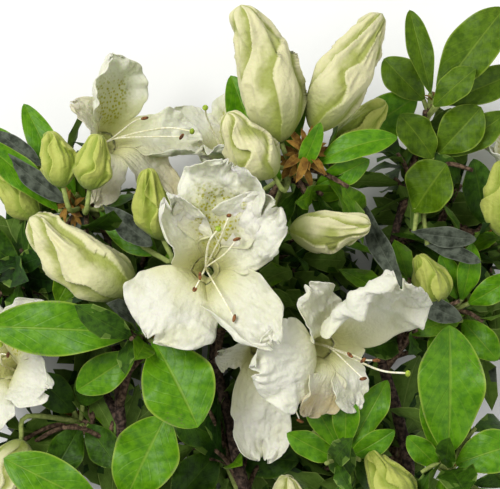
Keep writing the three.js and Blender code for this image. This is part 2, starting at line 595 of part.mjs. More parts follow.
function bloomSolid(bloom, random) {
  const frame = bloomFrame(bloom);
  const stamens = bloom.anthers.map((anther) => stamenSolid(frame, sighted(anther), STAMEN_RADIUS));
  const pistil = stamenSolid(frame, sighted(bloom.stigma), STIGMA_RADIUS);
  return fused([corollaSolid(bloom, frame), ...stamens, pistil], random);
}

// Growing the branch
const placed = []; // every finished solid with its name
const limbs = new Map();

function addPiece(name, solid, color, roughness) {
  placed.push({ name, solid, color, roughness, box: solid.boundingBox() });
}

function addLimb(spec) {
  const points = spec.path.map(vector);
  const parent = limbs.get(spec.parent);
  if (parent) points.unshift(parent.curve.getPoint(spec.at));
  const curve = smoothCurve(points);
  const steps = 2 * points.length;
  let solid = limbSolid(curve, spec.radii, LIMB_SIDES, steps);
  for (const other of limbs.values()) solid = solid.subtract(other.grown);
  const grown = limbSolid(curve, spec.radii, LIMB_SIDES, steps, CLEARANCE);
  limbs.set(spec.name, { curve, radii: spec.radii, grown });
  addPiece(spec.name, largest(solid), parent ? COLORS.stem : COLORS.bark, ROUGHNESS.limb);
}

function boxesMeet(one, two, margin) {
  return one.min.every((low, axis) => low <= two.max[axis] + margin)
    && one.max.every((high, axis) => high >= two.min[axis] - margin);
}

function touches(solid, others) {
  const box = solid.boundingBox();
  return others.some((other) => boxesMeet(box, other.box, CLEARANCE)
    && solid.minGap(other.solid, CLEARANCE * 2) < CLEARANCE);
}

// What the rule's leaves must leave in view: flowers, limbs and the blades set by hand.
const shown = [];
function keepInView(point, radius) {
  shown.push({ point, radius });
}

function hidesSomething(sample) {
  const eye = new THREE.Vector3(0, 0, EYE_HEIGHT);
  return shown.some(({ point, radius }) => {
    if (sample.z < point.z - 2) return false;
    const share = (EYE_HEIGHT - sample.z) / (EYE_HEIGHT - point.z);
    const x = eye.x + (point.x - eye.x) * share;
    const y = eye.y + (point.y - eye.y) * share;
    return Math.hypot(sample.x - x, sample.y - y) < radius;
  });
}

const leafRoom = []; // sample points of all leaves so far
const hasRoom = (samples) => samples
  .every((sample) => leafRoom.every((other) => sample.distanceTo(other) > ROOM));

function randomLeaf(root, direction, facing, length, random) {
  const point = root.clone().addScaledVector(direction, length);
  const frame = leafFrame(root, point, facing, radians(WHORL.roll * (random() - 0.5)));
  const width = length * between(WHORL.width, random);
  return { ...frame, width, sag: between(WHORL.sag, random), fold: WHORL.fold };
}

// The rule: a shoot ends in a whorl whose leaves stand round it by the golden angle.
function whorlLeaves(tip, axis, count, length, random) {
  const leaves = [];
  const side = sidewaysOf(axis);
  const up = new THREE.Vector3().crossVectors(side, axis);
  const phase = 2 * Math.PI * random();
  for (let index = 0; index < count; index += 1) {
    const angle = phase + GOLDEN_ANGLE * index;
    const tilt = radians(between(WHORL.tilt, random));
    const radial = side.clone().multiplyScalar(Math.cos(angle)).addScaledVector(up, Math.sin(angle));
    const direction = axis.clone().multiplyScalar(Math.cos(tilt)).addScaledVector(radial, Math.sin(tilt));
    const root = tip.clone().addScaledVector(axis, -LEAF_STEP * (count - index));
    leaves.push(randomLeaf(root, direction.normalize(), axis, length * between(WHORL.reach, random), random));
  }
  return leaves;
}

function pedicelFor(name) {
  const bloom = BLOOMS.find((item) => item.name === name);
  if (bloom) {
    const frame = bloomFrame(bloom);
    return { end: frame.foot.addScaledVector(frame.axis, -CLEARANCE), axis: frame.axis };
  }
  const bud = BUDS.find((item) => item.name === name);
  const foot = sighted(bud.foot);
  const axis = sighted(bud.point).sub(foot).normalize();
  return { end: foot.addScaledVector(axis, -CLEARANCE), axis };
}

function makeSpray(spec) {
  const limb = limbs.get(spec.bough);
  const start = limb.curve.getPoint(spec.at);
  const tip = sighted(spec.tip);
  const middle = start.clone().lerp(tip, 0.5).addScaledVector(limb.curve.getTangent(spec.at), 4);
  const stem = smoothCurve([start, middle, tip]);
  const order = SPRAYS.indexOf(spec) + 1;
  const random = numbers(order);
  const twigs = [limbSolid(stem, STEM_RADII, TWIG_SIDES, 3)];
  const stemAxis = stem.getTangent(1);
  spec.flowers.forEach((flower, place) => {
    const { end, axis } = pedicelFor(flower);
    const reach = tip.distanceTo(end);
    const near = end.clone().addScaledVector(axis, -Math.min(9, reach * 0.35));
    const root = tip.clone().addScaledVector(stemAxis, -1 - ROOT_STEP * place);
    twigs.push(limbSolid(smoothCurve([root, near, end]), PEDICEL_RADII, TWIG_SIDES, 3));
  });
  const whorls = [{ tip, axis: stemAxis, random: numbers(100 * order) }];
  for (let index = 0; index < spec.twigs; index += 1) {
    const t = lerp(...TWIG_PLACES, index / spec.twigs);
    const axis = stem.getTangent(t);
    const side = sidewaysOf(axis);
    const up = new THREE.Vector3().crossVectors(side, axis);
    const angle = GOLDEN_ANGLE * index + 2 * Math.PI * random();
    const direction = axis.clone().multiplyScalar(TWIG_LEAN).addScaledVector(side, Math.cos(angle))
      .addScaledVector(up, Math.sin(angle)).normalize();
    const root = stem.getPoint(t);
    const reach = spec.spread * between(TWIG_REACH, random);
    const end = pressed(root.clone().addScaledVector(direction, reach));
    const bend = pressed(root.clone().lerp(end, 0.5).add(new THREE.Vector3(0, 2, 1)));
    const curve = smoothCurve([root, bend, end]);
    const twig = limbSolid(curve, TWIG_RADII, TWIG_SIDES, 2);
    if (!touches(twig, placed)) {
      twigs.push(twig);
      whorls.push({ tip: end, axis: curve.getTangent(1), random: numbers(100 * order + index + 1) });
    }
  }
  return { spec, random, twigs, whorls };
}

function setBlades(spray) {
  const { tip, axis } = spray.whorls[0];
  spray.blades = spray.spec.blades.map((item, order) => {
    const upward = new THREE.Vector3(0, 0, 1);
    const frame = leafFrame(sighted(item.root), sighted(item.point), upward, radians(item.roll));
    const leaf = { ...frame, width: item.width, sag: item.sag, fold: BLADE_FOLD };
    const samples = leafSamples(leaf);
    leafRoom.push(...samples);
    samples.slice(1).forEach((sample) => keepInView(sample, item.width * 0.45));
    const root = tip.clone().addScaledVector(axis, -0.6 - ROOT_STEP * order);
    const end = leaf.root.clone().addScaledVector(leaf.along, 1.5);
    spray.twigs.push(limbSolid(smoothCurve([root, end]), STALK_RADII, TWIG_SIDES, 1));
    return leaf;
  });
}

function finishSpray(spray, others) {
  const leaves = spray.blades.map((leaf) => leafSolid(leaf, BLADE_STATIONS))
    .filter((solid) => !touches(solid, others));
  for (const whorl of spray.whorls) {
    const { whorl: count, leaf: length } = spray.spec;
    for (const leaf of whorlLeaves(whorl.tip, whorl.axis, count, length, whorl.random)) {
      const samples = leafSamples(leaf);
      const tooHigh = samples.some((sample) => sample.y > CROWN_TOP);
      if (tooHigh || samples.some(hidesSomething) || !hasRoom(samples)) continue;
      const solid = leafSolid(leaf, LEAF_STATIONS);
      if (touches(solid, others)) continue;
      leafRoom.push(...samples);
      leaves.push(solid);
    }
  }
  return fused([...spray.twigs, ...leaves], spray.random, [...limbs.values()]);
}

// Joins the pieces, clear of the limbs named. Where edges fall together, all are shifted a little.
function fused(pieces, random, clearOf = []) {
  for (let round = 0; round < FUSING_ROUNDS; round += 1) {
    const shift = () => FUSING_SHIFT * round * (random() - 0.5);
    let mass = wasm.Manifold.union(pieces.map((piece) => piece.translate(shift(), shift(), shift())));
    for (const other of clearOf) mass = mass.subtract(other.grown);
    mass = largest(mass);
    if (!doubledEdge(mass)) return mass;
  }
  throw new Error("a solid did not fuse");
}

addLimb(MAIN_STEM);
BOUGHS.forEach(addLimb);
BLOOMS.forEach((bloom, index) => {
  addPiece(bloom.name, bloomSolid(bloom, numbers(50 + index)), COLORS.petal, ROUGHNESS.flower);
  const frame = bloomFrame(bloom);
  keepInView(frame.throat.clone().addScaledVector(frame.axis, 5), bloom.lobe * 0.95);
});
for (const bud of BUDS) {
  addPiece(bud.name, budSolid(bud), COLORS.bud, ROUGHNESS.flower);
  [0.25, 0.5, 0.75].forEach((t) => {
    keepInView(sighted(bud.foot).lerp(sighted(bud.point), t), bud.width * 0.5);
  });
}
for (const name of ["bough_center", "bough_right"]) {
  [0.3, 0.5, 0.7, 0.9].forEach((t) => keepInView(limbs.get(name).curve.getPoint(t), 5));
}

const sprays = SPRAYS.map(makeSpray);
sprays.forEach(setBlades);
sprays.forEach((spray, index) => {
  const later = sprays.slice(index + 1).map((other) => {
    const blades = other.blades.map((leaf) => leafSolid(leaf, BLADE_STATIONS));
    const solid = wasm.Manifold.union([...other.twigs, ...blades]);
    return { solid, box: solid.boundingBox() };
  });
  const solid = finishSpray(spray, [...placed, ...later]);
  const dark = DARK_SPRAYS.includes(spray.spec.name);
  addPiece(spray.spec.name, solid, dark ? COLORS.darkLeaf : COLORS.leaf, ROUGHNESS.leaf);
});

// The finished group stands with its box's middle over the origin and its lowest point at height 0.
function meshOf({ name, solid, color, roughness }) {
  const { vertProperties, triVerts, numProp } = solid.getMesh();
  const positions = new Float32Array((vertProperties.length / numProp) * 3);
  for (let index = 0; index < positions.length / 3; index += 1) {
    for (let axis = 0; axis < 3; axis += 1) {
      positions[index * 3 + axis] = onGrid(vertProperties[index * numProp + axis]);
    }
  }
  const geometry = new THREE.BufferGeometry();
  geometry.setAttribute("position", new THREE.BufferAttribute(positions, 3));
  geometry.setIndex(new THREE.BufferAttribute(new Uint32Array(triVerts), 1));
  geometry.computeVertexNormals();
  const mesh = new THREE.Mesh(geometry, new THREE.MeshStandardMaterial({ color, roughness, metalness: 0 }));
  mesh.name = name;
  return mesh;
}

const branch = new THREE.Group();
branch.add(...placed.map(meshOf));
const box = new THREE.Box3().setFromObject(branch);
const middle = box.getCenter(new THREE.Vector3());
branch.position.set(-onGrid(middle.x), -onGrid(middle.y), -onGrid(box.min.z));

export default branch;
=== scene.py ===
"""A cut flowering azalea branch, lying under a camera that looks down on it."""

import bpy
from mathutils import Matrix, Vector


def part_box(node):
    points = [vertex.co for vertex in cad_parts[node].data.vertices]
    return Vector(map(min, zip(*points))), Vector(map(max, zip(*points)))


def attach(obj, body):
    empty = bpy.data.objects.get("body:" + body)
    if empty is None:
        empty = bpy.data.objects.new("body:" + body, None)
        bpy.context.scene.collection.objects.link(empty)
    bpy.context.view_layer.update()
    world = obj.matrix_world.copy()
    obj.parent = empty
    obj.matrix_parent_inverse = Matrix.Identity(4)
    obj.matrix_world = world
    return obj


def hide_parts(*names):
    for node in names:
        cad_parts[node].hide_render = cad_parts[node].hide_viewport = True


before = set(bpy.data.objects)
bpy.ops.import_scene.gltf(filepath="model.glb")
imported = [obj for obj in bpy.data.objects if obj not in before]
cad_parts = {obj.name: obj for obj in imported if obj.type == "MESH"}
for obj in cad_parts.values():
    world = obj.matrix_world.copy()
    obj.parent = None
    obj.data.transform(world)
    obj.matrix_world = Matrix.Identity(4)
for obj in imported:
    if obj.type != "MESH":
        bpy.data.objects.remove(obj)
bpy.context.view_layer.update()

import math

import bpy
import numpy as np

bl_info = {
    "name": "Azalea branch",
    "version": (1, 0, 0),
    "blender": (4, 5, 0),
    "location": "3D View > Sidebar > Azalea",
    "description": "Grows a cut azalea branch with leaves, open blooms and buds over its packed frame",
    "category": "Add Mesh",
}

# Layout, in millimetres, as the part has it
METRE = 0.001
EYE_HEIGHT = 700
MIDDLE_HEIGHT = 60
FLOOR_BAND = 7  # what would hang below this height is pressed flat
FLOOR_GAP = 0.1
GOLDEN_ANGLE = 2.399963
PETAL_COUNT = 5
ROOM = 4.6  # least distance between the leaves of the first whorls
FINE_ROOM = 2.8  # and between those of the finer whorls
SEED = 20261
CROWN_TOP = 62  # no grown leaf reaches past this y
ROOT_STEP = 1.9  # from stalk to stalk along a shoot's tip
LEAF_STEP = 1.3  # from leaf to leaf of a whorl
SHADE_HEIGHT = 46  # a grown leaf that starts below this takes the old leaves' darker green, as painted shade
TUBE_LENGTH = 15
TUBE_FOOT = 2.1
TUBE_MOUTH = 6.2
CLEFT = 0.22  # petals are joined up to this share of their length
GREEN_BUD_WIDTH = 14.5  # narrower buds are still green
ROSETTE = (18, 28, 84)  # the bud scales that stay in sight
SCALE_THICKNESS = 0.5

# Rows and columns of a listed leaf, of a grown leaf, of a bud scale and of a calyx lobe
HAND_GRID, GROWN_GRID, SCALE_GRID, LOBE_GRID = (42, 14), (6, 4), (6, 4), (8, 5)

# Name, place in metres, size in metres and power in watts of each lamp
LAMPS = (("key", (-0.5, 0.4, 1.0), 0.5, 11.5), ("fill", (0.7, -0.2, 0.9), 0.9, 3.2))
WORLD_LIGHT = 0.42
FLOOR_REACH = 2.0
SENSOR_WIDTH = 36

LIMBS = {
    "main_stem": (None, 0, [(38, -168, 46), (34, -148, 47), (28, -130, 50)], (4.6, 3.9)),
    "bough_center": ("main_stem", 0.98, [(10, -114, 52), (-2, -93, 54), (-8, -67, 52), (-14, -44, 54)],
                     (2.7, 2.0)),
    "bough_right": ("main_stem", 0.92, [(50, -112, 48), (61, -90, 50), (57, -66, 50), (51, -46, 50)],
                    (2.8, 2.0)),
    "bough_left": ("main_stem", 0.8, [(2, -128, 44), (-28, -112, 44), (-47, -88, 48), (-50, -62, 54)],
                   (2.8, 1.9)),
    "bough_center_upper": ("bough_center", 1, [(-12, -24, 48), (-4, 0, 48), (7, 17, 56)], (1.9, 1.5)),
    "bough_right_upper": ("bough_right", 1, [(53, -18, 42), (57, 4, 38), (62, 24, 38)], (1.9, 1.4)),
    "bough_left_upper": ("bough_left", 1, [(-52, -36, 50), (-54, -12, 44), (-56, 4, 42)], (1.8, 1.4)),
    "bough_low_center": ("bough_right", 0.12, [(38, -108, 60), (35, -94, 68)], (1.9, 1.4)),
    "bough_low_right": ("bough_right", 0.4, [(68, -99, 62), (72, -92, 70)], (1.9, 1.4)),
    "bough_low_left": ("bough_left", 0.45, [(-38, -110, 56), (-48, -104, 62)], (1.9, 1.4)),
    "bough_far_left": ("bough_left", 0.93, [(-64, -44, 36), (-76, -24, 30)], (1.7, 1.2)),
}


def petal(opening, curl, fold, size=1.0, swing=0.0, broad=0.45, laps=(0.0, 0.0)):
    """One petal: degrees open from the axis, degrees of curl, fold along the middle, size, degrees it stands
    aside from its fifth of the round, half its width as a share of its length, and the degrees its two
    margins turn over."""
    return {"open": opening, "curl": curl, "fold": fold, "size": size, "swing": swing, "broad": broad,
            "laps": laps}


BLOOMS = {
    "bloom_front": {
        "throat": (-17, -9, 92), "axis": (-0.06, 0.1, 1), "roll": 6, "lobe": 31,
        "petals": [petal(54, -6, 0.3, 1.4, -12, 0.4), petal(46, -20, 0.5, 1.04, -39, 0.32, (0, 70)),
                   petal(72, 24, -0.1, 0.88, 6, 0.68, (20, -30)), petal(64, 14, 0.3, 1.2, 12, 0.38, (110, 0)),
                   petal(50, 6, 0.35, 1.2, 24, 0.38, (-90, 0))],
        "anthers": [(-8, 11, 112), (-5, 2, 110), (-19, -12, 104), (-21, -17, 103), (-6, -28, 108)],
        "stigma": (-12, 6, 114)},
    "bloom_right": {
        "throat": (30, -39, 91), "axis": (0.5, -0.1, 0.8), "roll": 22, "lobe": 33,
        "petals": [petal(44, -14, 0.3, 1.24, 14, 0.6, (0, 130)), petal(66, 10, 0.3, 0.84, -12, 0.36, (0, 40)),
                   petal(84, 26, -0.15, 0.86, -18, 0.6, (30, 10)),
                   petal(84, 50, 0.2, 0.66, -26, 0.46, (40, 0)),
                   petal(74, 50, 0.3, 0.6, -56, 0.42, (0, 40))],
        "anthers": [(38, -42, 112), (43, -44, 112), (48, -44, 110), (43, -51, 108)],
        "stigma": (60, -49, 116)},
    "bloom_low": {
        "throat": (5, -41, 64), "axis": (0.05, -0.55, 0.83), "roll": 0, "lobe": 31,
        "petals": [petal(60, 20, 0.3, 0.6), petal(40, 20, 0.3, 0.56, -6),
                   petal(56, 10, 0.3, 1.16, 36, 0.42, (40, 70)),
                   petal(40, 26, 0.2, 0.56, 20, 0.36), petal(36, 20, 0.3, 0.56, 6)],
        "anthers": [(19, -67, 80)], "stigma": (14, -56, 82)},
    "bloom_upper_left": {
        "throat": (-53, 40, 54), "axis": (0.55, 0.3, 0.66), "roll": 4, "lobe": 27,
        "petals": [petal(50, 0, 0.35, 1.04, 16, 0.56, (0, 40)), petal(60, 20, 0.3, 0.64, -8, 0.4),
                   petal(78, 40, 0.3, 0.94, 12, 0.34, (60, 0)), petal(80, 20, 0.3, 1.04, 8, 0.36, (0, 60)),
                   petal(60, 14, 0.4, 1.12, -26, 0.4, (80, 0))],
        "anthers": [(-40, 48, 74), (-26, 41, 76)], "stigma": (-22, 43, 72)},
    "bloom_behind": {
        "throat": (-10, 34, 32), "axis": (-0.1, 0.8, 0.4), "roll": 10, "lobe": 24,
        "petals": [petal(44, 10, 0.3), petal(50, 20, 0.3), petal(52, 26, -0.2), petal(50, 20, 0.3),
                   petal(46, 12, 0.3)],
        "anthers": [], "stigma": (-17, 52, 54)},
    "bloom_left_edge": {
        "throat": (-94, -46, 50), "axis": (-0.3, 0.22, 0.8), "roll": 40, "lobe": 25,
        "petals": [petal(66, 20, 0.3), petal(72, 36, -0.3), petal(70, 20, 0.4, 1.06), petal(66, 30, -0.2),
                   petal(64, 16, 0.3)],
        "anthers": [(-92, -42, 70)], "stigma": (-95, -38, 70)},
    "bloom_right_edge": {
        "throat": (100, 26, 26), "axis": (0.3, 0.7, 0.4), "roll": 0, "lobe": 20,
        "petals": [petal(40, 10, 0.3), petal(46, 20, 0.3), petal(50, 20, -0.2), petal(44, 14, 0.3),
                   petal(40, 10, 0.3)],
        "anthers": [], "stigma": (104, 42, 38)},
}

# Foot, point and greatest width of each closed bud
BUDS = {
    "bud_top_left": ((12, 39, 84), (-4, 91, 96), 23),
    "bud_top_right": ((24, 43, 80), (50, 88, 84), 19),
    "bud_top_front": ((9, 26, 92), (-9, 50, 104), 17),
    "bud_side": ((15, 5, 84), (46, 8, 88), 15),
    "bud_top_behind": ((31, 30, 58), (51, 55, 56), 14),
    "bud_left_large": ((-44, -18, 80), (-84, 10, 82), 22),
    "bud_left_first": ((-71, 22, 80), (-77, 43, 86), 13),
    "bud_left_second": ((-61, 21, 82), (-58, 42, 90), 13),
    "bud_left_green": ((-33, 2, 78), (-39, 29, 88), 13.5),
    "bud_left_edge": ((-80, 10, 50), (-101, 29, 52), 13),
    "bud_right_small": ((72, -22, 58), (64, -4, 66), 13),
    "bud_right_edge": ((98, 2, 54), (95, 32, 62), 13),
    "bud_low_left": ((-87, -74, 56), (-93, -97, 60), 15),
    "bud_low_center": ((10, -118, 66), (14, -88, 76), 19),
    "bud_low_right": ((62, -100, 88), (45, -79, 80), 14),
}


def blade(root, point, width, roll=0.0, sag=0.08):
    """A listed leaf, from its root to its point, with its width and its roll in degrees."""
    return {"root": root, "point": point, "width": width, "roll": roll, "sag": sag}


# Each spray: bough, place on it, tip, side twigs, their spread, leaves to a whorl, leaf length, flowers,
# blades
SPRAYS = {
    "foliage_center_front": ("bough_center", 0.97, (-6, -27, 66), 2, 20, 4, 26,
                             ["bloom_front", "bloom_right", "bloom_low"], []),
    "foliage_center_top": ("bough_center_upper", 1, (17, 30, 74), 3, 24, 6, 30,
                           ["bud_top_left", "bud_top_right", "bud_top_front", "bud_side", "bud_top_behind",
                            "bloom_behind"],
                           [blade((17, 34, 72), (10, 77, 74), 17, -8),
                            blade((6, 28, 66), (-8, 64, 70), 14, 10),
                            blade((24, 30, 80), (55, 43, 86), 11, -22, 0.2),
                            blade((24, 22, 76), (45, 33, 80), 10, 20),
                            blade((28, 34, 55), (64, 57, 43), 17, 10),
                            blade((42, 18, 62), (56, -17, 84), 8, 30),
                            blade((18, 26, 82), (27, 46, 92), 7, 10),
                            blade((12, 24, 84), (3, 34, 96), 6, -10)]),
    "foliage_left_front": ("bough_left", 1, (-39, -34, 76), 2, 20, 4, 28, ["bud_left_large"],
                           [blade((-42, -34, 78), (-100, -30, 80), 20, 6),
                            blade((-37, -36, 80), (-18, -68, 92), 27, -8),
                            blade((-42, -40, 70), (-66, -56, 66), 14, 0)]),
    "foliage_left_top": ("bough_left_upper", 1, (-65, 14, 54), 3, 24, 6, 30,
                         ["bud_left_first", "bud_left_second", "bud_left_edge", "bud_left_green",
                          "bloom_upper_left"],
                         [blade((-68, 16, 56), (-86, 54, 50), 11, 10),
                          blade((-70, 14, 50), (-98, 44, 42), 10, -10),
                          blade((-58, 14, 60), (-36, -4, 68), 12, 14),
                          blade((-72, 12, 58), (-102, 40, 66), 12, 24),
                          blade((-66, 18, 60), (-78, 42, 62), 8, 20)]),
    "foliage_left_edge": ("bough_far_left", 1, (-86, -12, 32), 3, 24, 6, 34, [],
                          [blade((-86, -10, 34), (-112, 12, 38), 15, 0),
                           blade((-84, -8, 40), (-70, 12, 46), 13, 0)]),
    "foliage_left_low": ("bough_left", 0.78, (-66, -66, 40), 3, 26, 7, 33,
                         ["bloom_left_edge", "bud_low_left"],
                         [blade((-66, -64, 44), (-82, -50, 52), 13, 6),
                          blade((-64, -62, 46), (-58, -46, 56), 12, 0),
                          blade((-64, -68, 44), (-76, -88, 52), 14, -10),
                          blade((-62, -68, 44), (-50, -84, 54), 13, 0)]),
    "foliage_bottom_left": ("bough_low_left", 1, (-50, -100, 70), 2, 22, 6, 36, [],
                            [blade((-48, -99, 72), (-33, -65, 76), 24, -6),
                             blade((-54, -101, 72), (-94, -82, 76), 18, 14),
                             blade((-50, -104, 68), (-70, -126, 56), 18, 0)]),
    "foliage_bottom_center": ("bough_center", 0.4, (-12, -76, 34), 4, 30, 7, 36, ["bud_low_center"],
                              [blade((-12, -78, 38), (-28, -98, 46), 17, 0),
                               blade((-10, -74, 38), (-30, -66, 44), 15, 0),
                               blade((-8, -78, 40), (18, -84, 50), 16, 0)]),
    "foliage_low_right": ("bough_low_center", 1, (36, -80, 76), 2, 18, 4, 26, [],
                          [blade((35, -79, 77), (20, -54, 80), 10, -8),
                           blade((36, -78, 78), (37, -55, 84), 10, 0),
                           blade((37, -79, 77), (51, -51, 78), 11, 8),
                           blade((37, -81, 76), (55, -71, 82), 9, 10),
                           blade((35, -82, 74), (14, -72, 78), 10, -10)]),
    "foliage_right_front": ("bough_low_right", 1, (75, -84, 80), 2, 20, 5, 30, ["bud_low_right"],
                            [blade((75, -82, 82), (77, -31, 88), 24, 4),
                             blade((77, -84, 80), (103, -74, 84), 16, -14),
                             blade((74, -83, 78), (66, -58, 78), 9, 10),
                             blade((72, -85, 78), (60, -73, 84), 9, 0)]),
    "foliage_right_middle": ("bough_right", 0.97, (79, -24, 44), 4, 28, 7, 30, ["bud_right_small"],
                             [blade((80, -22, 48), (72, -4, 56), 9, 0),
                              blade((80, -22, 50), (86, 0, 60), 9, 10),
                              blade((82, -23, 50), (102, -12, 60), 10, 0),
                              blade((78, -28, 46), (58, -16, 52), 12, 10),
                              blade((80, -28, 46), (94, -44, 54), 12, 0),
                              blade((76, -28, 46), (70, -48, 56), 11, 0)]),
    "foliage_right_edge": ("bough_right_upper", 0.6, (90, 4, 32), 4, 26, 7, 32,
                           ["bud_right_edge", "bloom_right_edge"],
                           [blade((90, 6, 36), (84, 32, 46), 13, 0),
                            blade((92, 2, 36), (116, -6, 40), 14, 0)]),
    "foliage_right_upper": ("bough_right_upper", 0.8, (70, 33, 42), 3, 20, 5, 28, [],
                            [blade((71, 34, 46), (88, 52, 52), 17, 0),
                             blade((62, 12, 56), (75, 30, 66), 21, -28),
                             blade((70, 32, 48), (58, 50, 56), 14, 10),
                             blade((73, 33, 44), (98, 50, 48), 12, 10)]),
    "foliage_top_right": ("bough_right_upper", 1, (69, 54, 50), 2, 18, 4, 28, [],
                          [blade((70, 55, 52), (97, 90, 58), 19, -10),
                           blade((69, 56, 52), (59, 89, 50), 10, 10),
                           blade((67, 54, 48), (50, 70, 44), 14, 0),
                           blade((71, 53, 48), (104, 66, 44), 13, 6),
                           blade((69, 52, 54), (86, 66, 62), 12, -20)]),
    "foliage_under_center": ("bough_center_upper", 0.45, (6, -8, 22), 5, 32, 7, 34, [], []),
    "foliage_under_low": ("bough_right", 0.55, (40, -84, 24), 5, 30, 7, 34, [], []),
    "foliage_under_left": ("bough_left_upper", 0.5, (-38, -20, 24), 5, 30, 7, 34, [], []),
}


# Finer leaves that the scene adds to a spray, as blades with the name of their leaf kind
FINER_BLADES = {
    "foliage_left_top": [(blade((-95, 36, 62), (-70, 16, 66), 8, 20), "grey"),
                         (blade((-56, 15, 74), (-37, 0, 78), 9, 10), "grey"),
                         (blade((-98, 44, 58), (-80, 30, 62), 7, -10), "grey")],
    "foliage_right_upper": [(blade((61, 5, 62), (86, 2, 66), 8, 20), "grey"),
                            (blade((66, 0, 60), (88, -6, 64), 6, -16), "grey")],
    "foliage_right_middle": [(blade((57, -17, 60), (80, -30, 64), 9, 12), "grey")],
}
GREY_BLADE = ("foliage_center_top", 5)
OLIVE_SPRAYS = ("foliage_top_right", "foliage_right_upper")
GREEN_SHOOTS = ("foliage_low_right", "foliage_right_front")
SCALES = {"foliage_center_top": (30, 12, 12), "foliage_left_top": (16, 10,
                                                                   8)}  # number, length and rise of scales
# Sprays low down and behind the others: they grow more finer twigs, and their leaves take the darkest greens
# as painted shade.
SHADED_SPRAYS = ("foliage_left_edge", "foliage_left_low", "foliage_bottom_center", "foliage_under_center",
               "foliage_under_low", "foliage_under_left", "foliage_right_edge")


# Numbers and small vectors

def numbers(seed):
    """A function that gives even numbers from 0 to 1, the same run for the same seed."""
    state = [(SEED * 7919 + seed * 104729) % 4294967296]

    def following():
        state[0] = (state[0] * 1664525 + 1013904223) % 4294967296
        return state[0] / 4294967296

    following()
    following()
    return following


def unit(vectors):
    """The vectors at length one, along the last axis."""
    vectors = np.asarray(vectors, dtype=float)
    return vectors / np.maximum(np.linalg.norm(vectors, axis=-1, keepdims=True), 1e-9)


def turned(vector, axis, angle):
    """The vector turned about a unit axis by an angle in radians."""
    return (vector * math.cos(angle) + np.cross(axis, vector) * math.sin(angle)
            + axis * np.dot(axis, vector) * (1 - math.cos(angle)))


def sighted(place):
    """A place seen at x, y on the middle plane, moved along its line of sight to its height."""
    x, y, z = place
    scale = 1 - (z - MIDDLE_HEIGHT) / (EYE_HEIGHT - MIDDLE_HEIGHT)
    return np.array([x * scale, y * scale, z], dtype=float)


def pressed(points):
    """The points, with what would lie below the surface pressed flat against it."""
    points = np.array(points, dtype=float)
    low = points[..., 2] < FLOOR_BAND
    points[..., 2] = np.where(low, FLOOR_BAND * np.exp((points[..., 2] - FLOOR_BAND) / FLOOR_BAND),
                              points[..., 2])
    return points


def smooth(edge0, edge1, values):
    """0 below edge0, 1 above edge1 and a smooth rise between."""
    t = np.clip((values - edge0) / (edge1 - edge0), 0, 1)
    return t * t * (3 - 2 * t)


def sideways_of(tangents):
    """A unit vector across each tangent, level where it can be."""
    tangents = np.asarray(tangents, dtype=float)
    steep = np.abs(tangents[..., 2:3]) >= 0.85
    reference = np.where(steep, [1.0, 0.0, 0.0], [0.0, 0.0, 1.0])
    return unit(np.cross(tangents, reference))


def crossways(axis):
    """Two unit directions across an axis, the first level where it can be."""
    side = sideways_of(axis)
    return side, np.cross(side, axis)


class Curve:
    """A smooth curve through points: the cubic whose slope at a point is half the step between its
    neighbours."""

    def __init__(self, points):
        points = np.array(points, dtype=float)
        first = 2 * points[0] - points[1]
        last = 2 * points[-1] - points[-2]
        self.points = np.vstack([first, points, last])
        self.spans = len(points) - 1

    def at(self, t):
        t = np.atleast_1d(np.asarray(t, dtype=float)) * self.spans
        span = np.clip(t.astype(int), 0, self.spans - 1)
        w = (t - span)[:, None]
        before, start, end, after = (self.points[span + i] for i in range(4))
        slope0 = (end - before) / 2
        slope1 = (after - start) / 2
        return (start + slope0 * w + (3 * (end - start) - 2 * slope0 - slope1) * w ** 2
                + (2 * (start - end) + slope0 + slope1) * w ** 3)

    def along(self, t):
        t = np.clip(np.atleast_1d(np.asarray(t, dtype=float)), 1e-4, 1 - 1e-4)
        return unit(self.at(t + 1e-4) - self.at(t - 1e-4))

    def place(self, t):
        return self.at(t)[0]

    def direction(self, t):
        return self.along(t)[0]


# Surfaces

def ring_frames(curve, t):
    """Two unit directions across the curve at each t. The first is carried from ring to ring by taking off
    its part along the curve, so the rings don't turn about it."""
    tangents = curve.along(t)
    side = sideways_of(tangents[0])
    sides = []
    for tangent in tangents:
        side = unit(side - tangent * np.dot(side, tangent))
        sides.append(side)
    sides = np.array(sides)
    return sides, np.cross(sides, tangents)


def tube_surface(curve, radii, sides, steps, relief=None):
    """Rings round a curve: at t the ring's radius runs from the first to the second of radii, and relief(t,
    angle) multiplies it. A ring of no radius closes each end."""
    t = np.concatenate([[0], np.linspace(0, 1, steps + 1), [1]])
    centers = curve.at(t)
    side, up = ring_frames(curve, t)
    angle = np.linspace(0, 2 * math.pi, sides + 1)
    radius = (radii[0] + (radii[1] - radii[0]) * t)[:, None] * np.ones_like(angle)[None, :]
    if relief is not None:
        radius = radius * relief(t[:, None], angle[None, :])
    radius[0] = radius[-1] = 0
    return (centers[:, None] + radius[..., None] * (side[:, None] * np.cos(angle)[None, :, None]
                                                    + up[:, None] * np.sin(angle)[None, :, None]))


def leaf_frame(root, point, facing, roll):
    """A leaf's root, length and three unit directions."""
    along = point - root
    length = float(np.linalg.norm(along))
    along = along / length
    across = turned(unit(np.cross(along, facing)), along, roll)
    return {"root": root, "length": length, "along": along, "across": across, "up": np.cross(across, along)}


def leaf_outline(v):
    """Half of the leaf's width at v, as a share of its greatest: a narrow stalk, then a blade widest past its
    middle."""
    stalk = 0.06
    q = np.clip((v - stalk) / (1 - stalk), 0, 1)
    return np.where(v <= stalk, 0.1, 0.1 * (1 - q) + 0.98 * np.sin(math.pi * q ** 1.22).clip(0) ** 0.66)


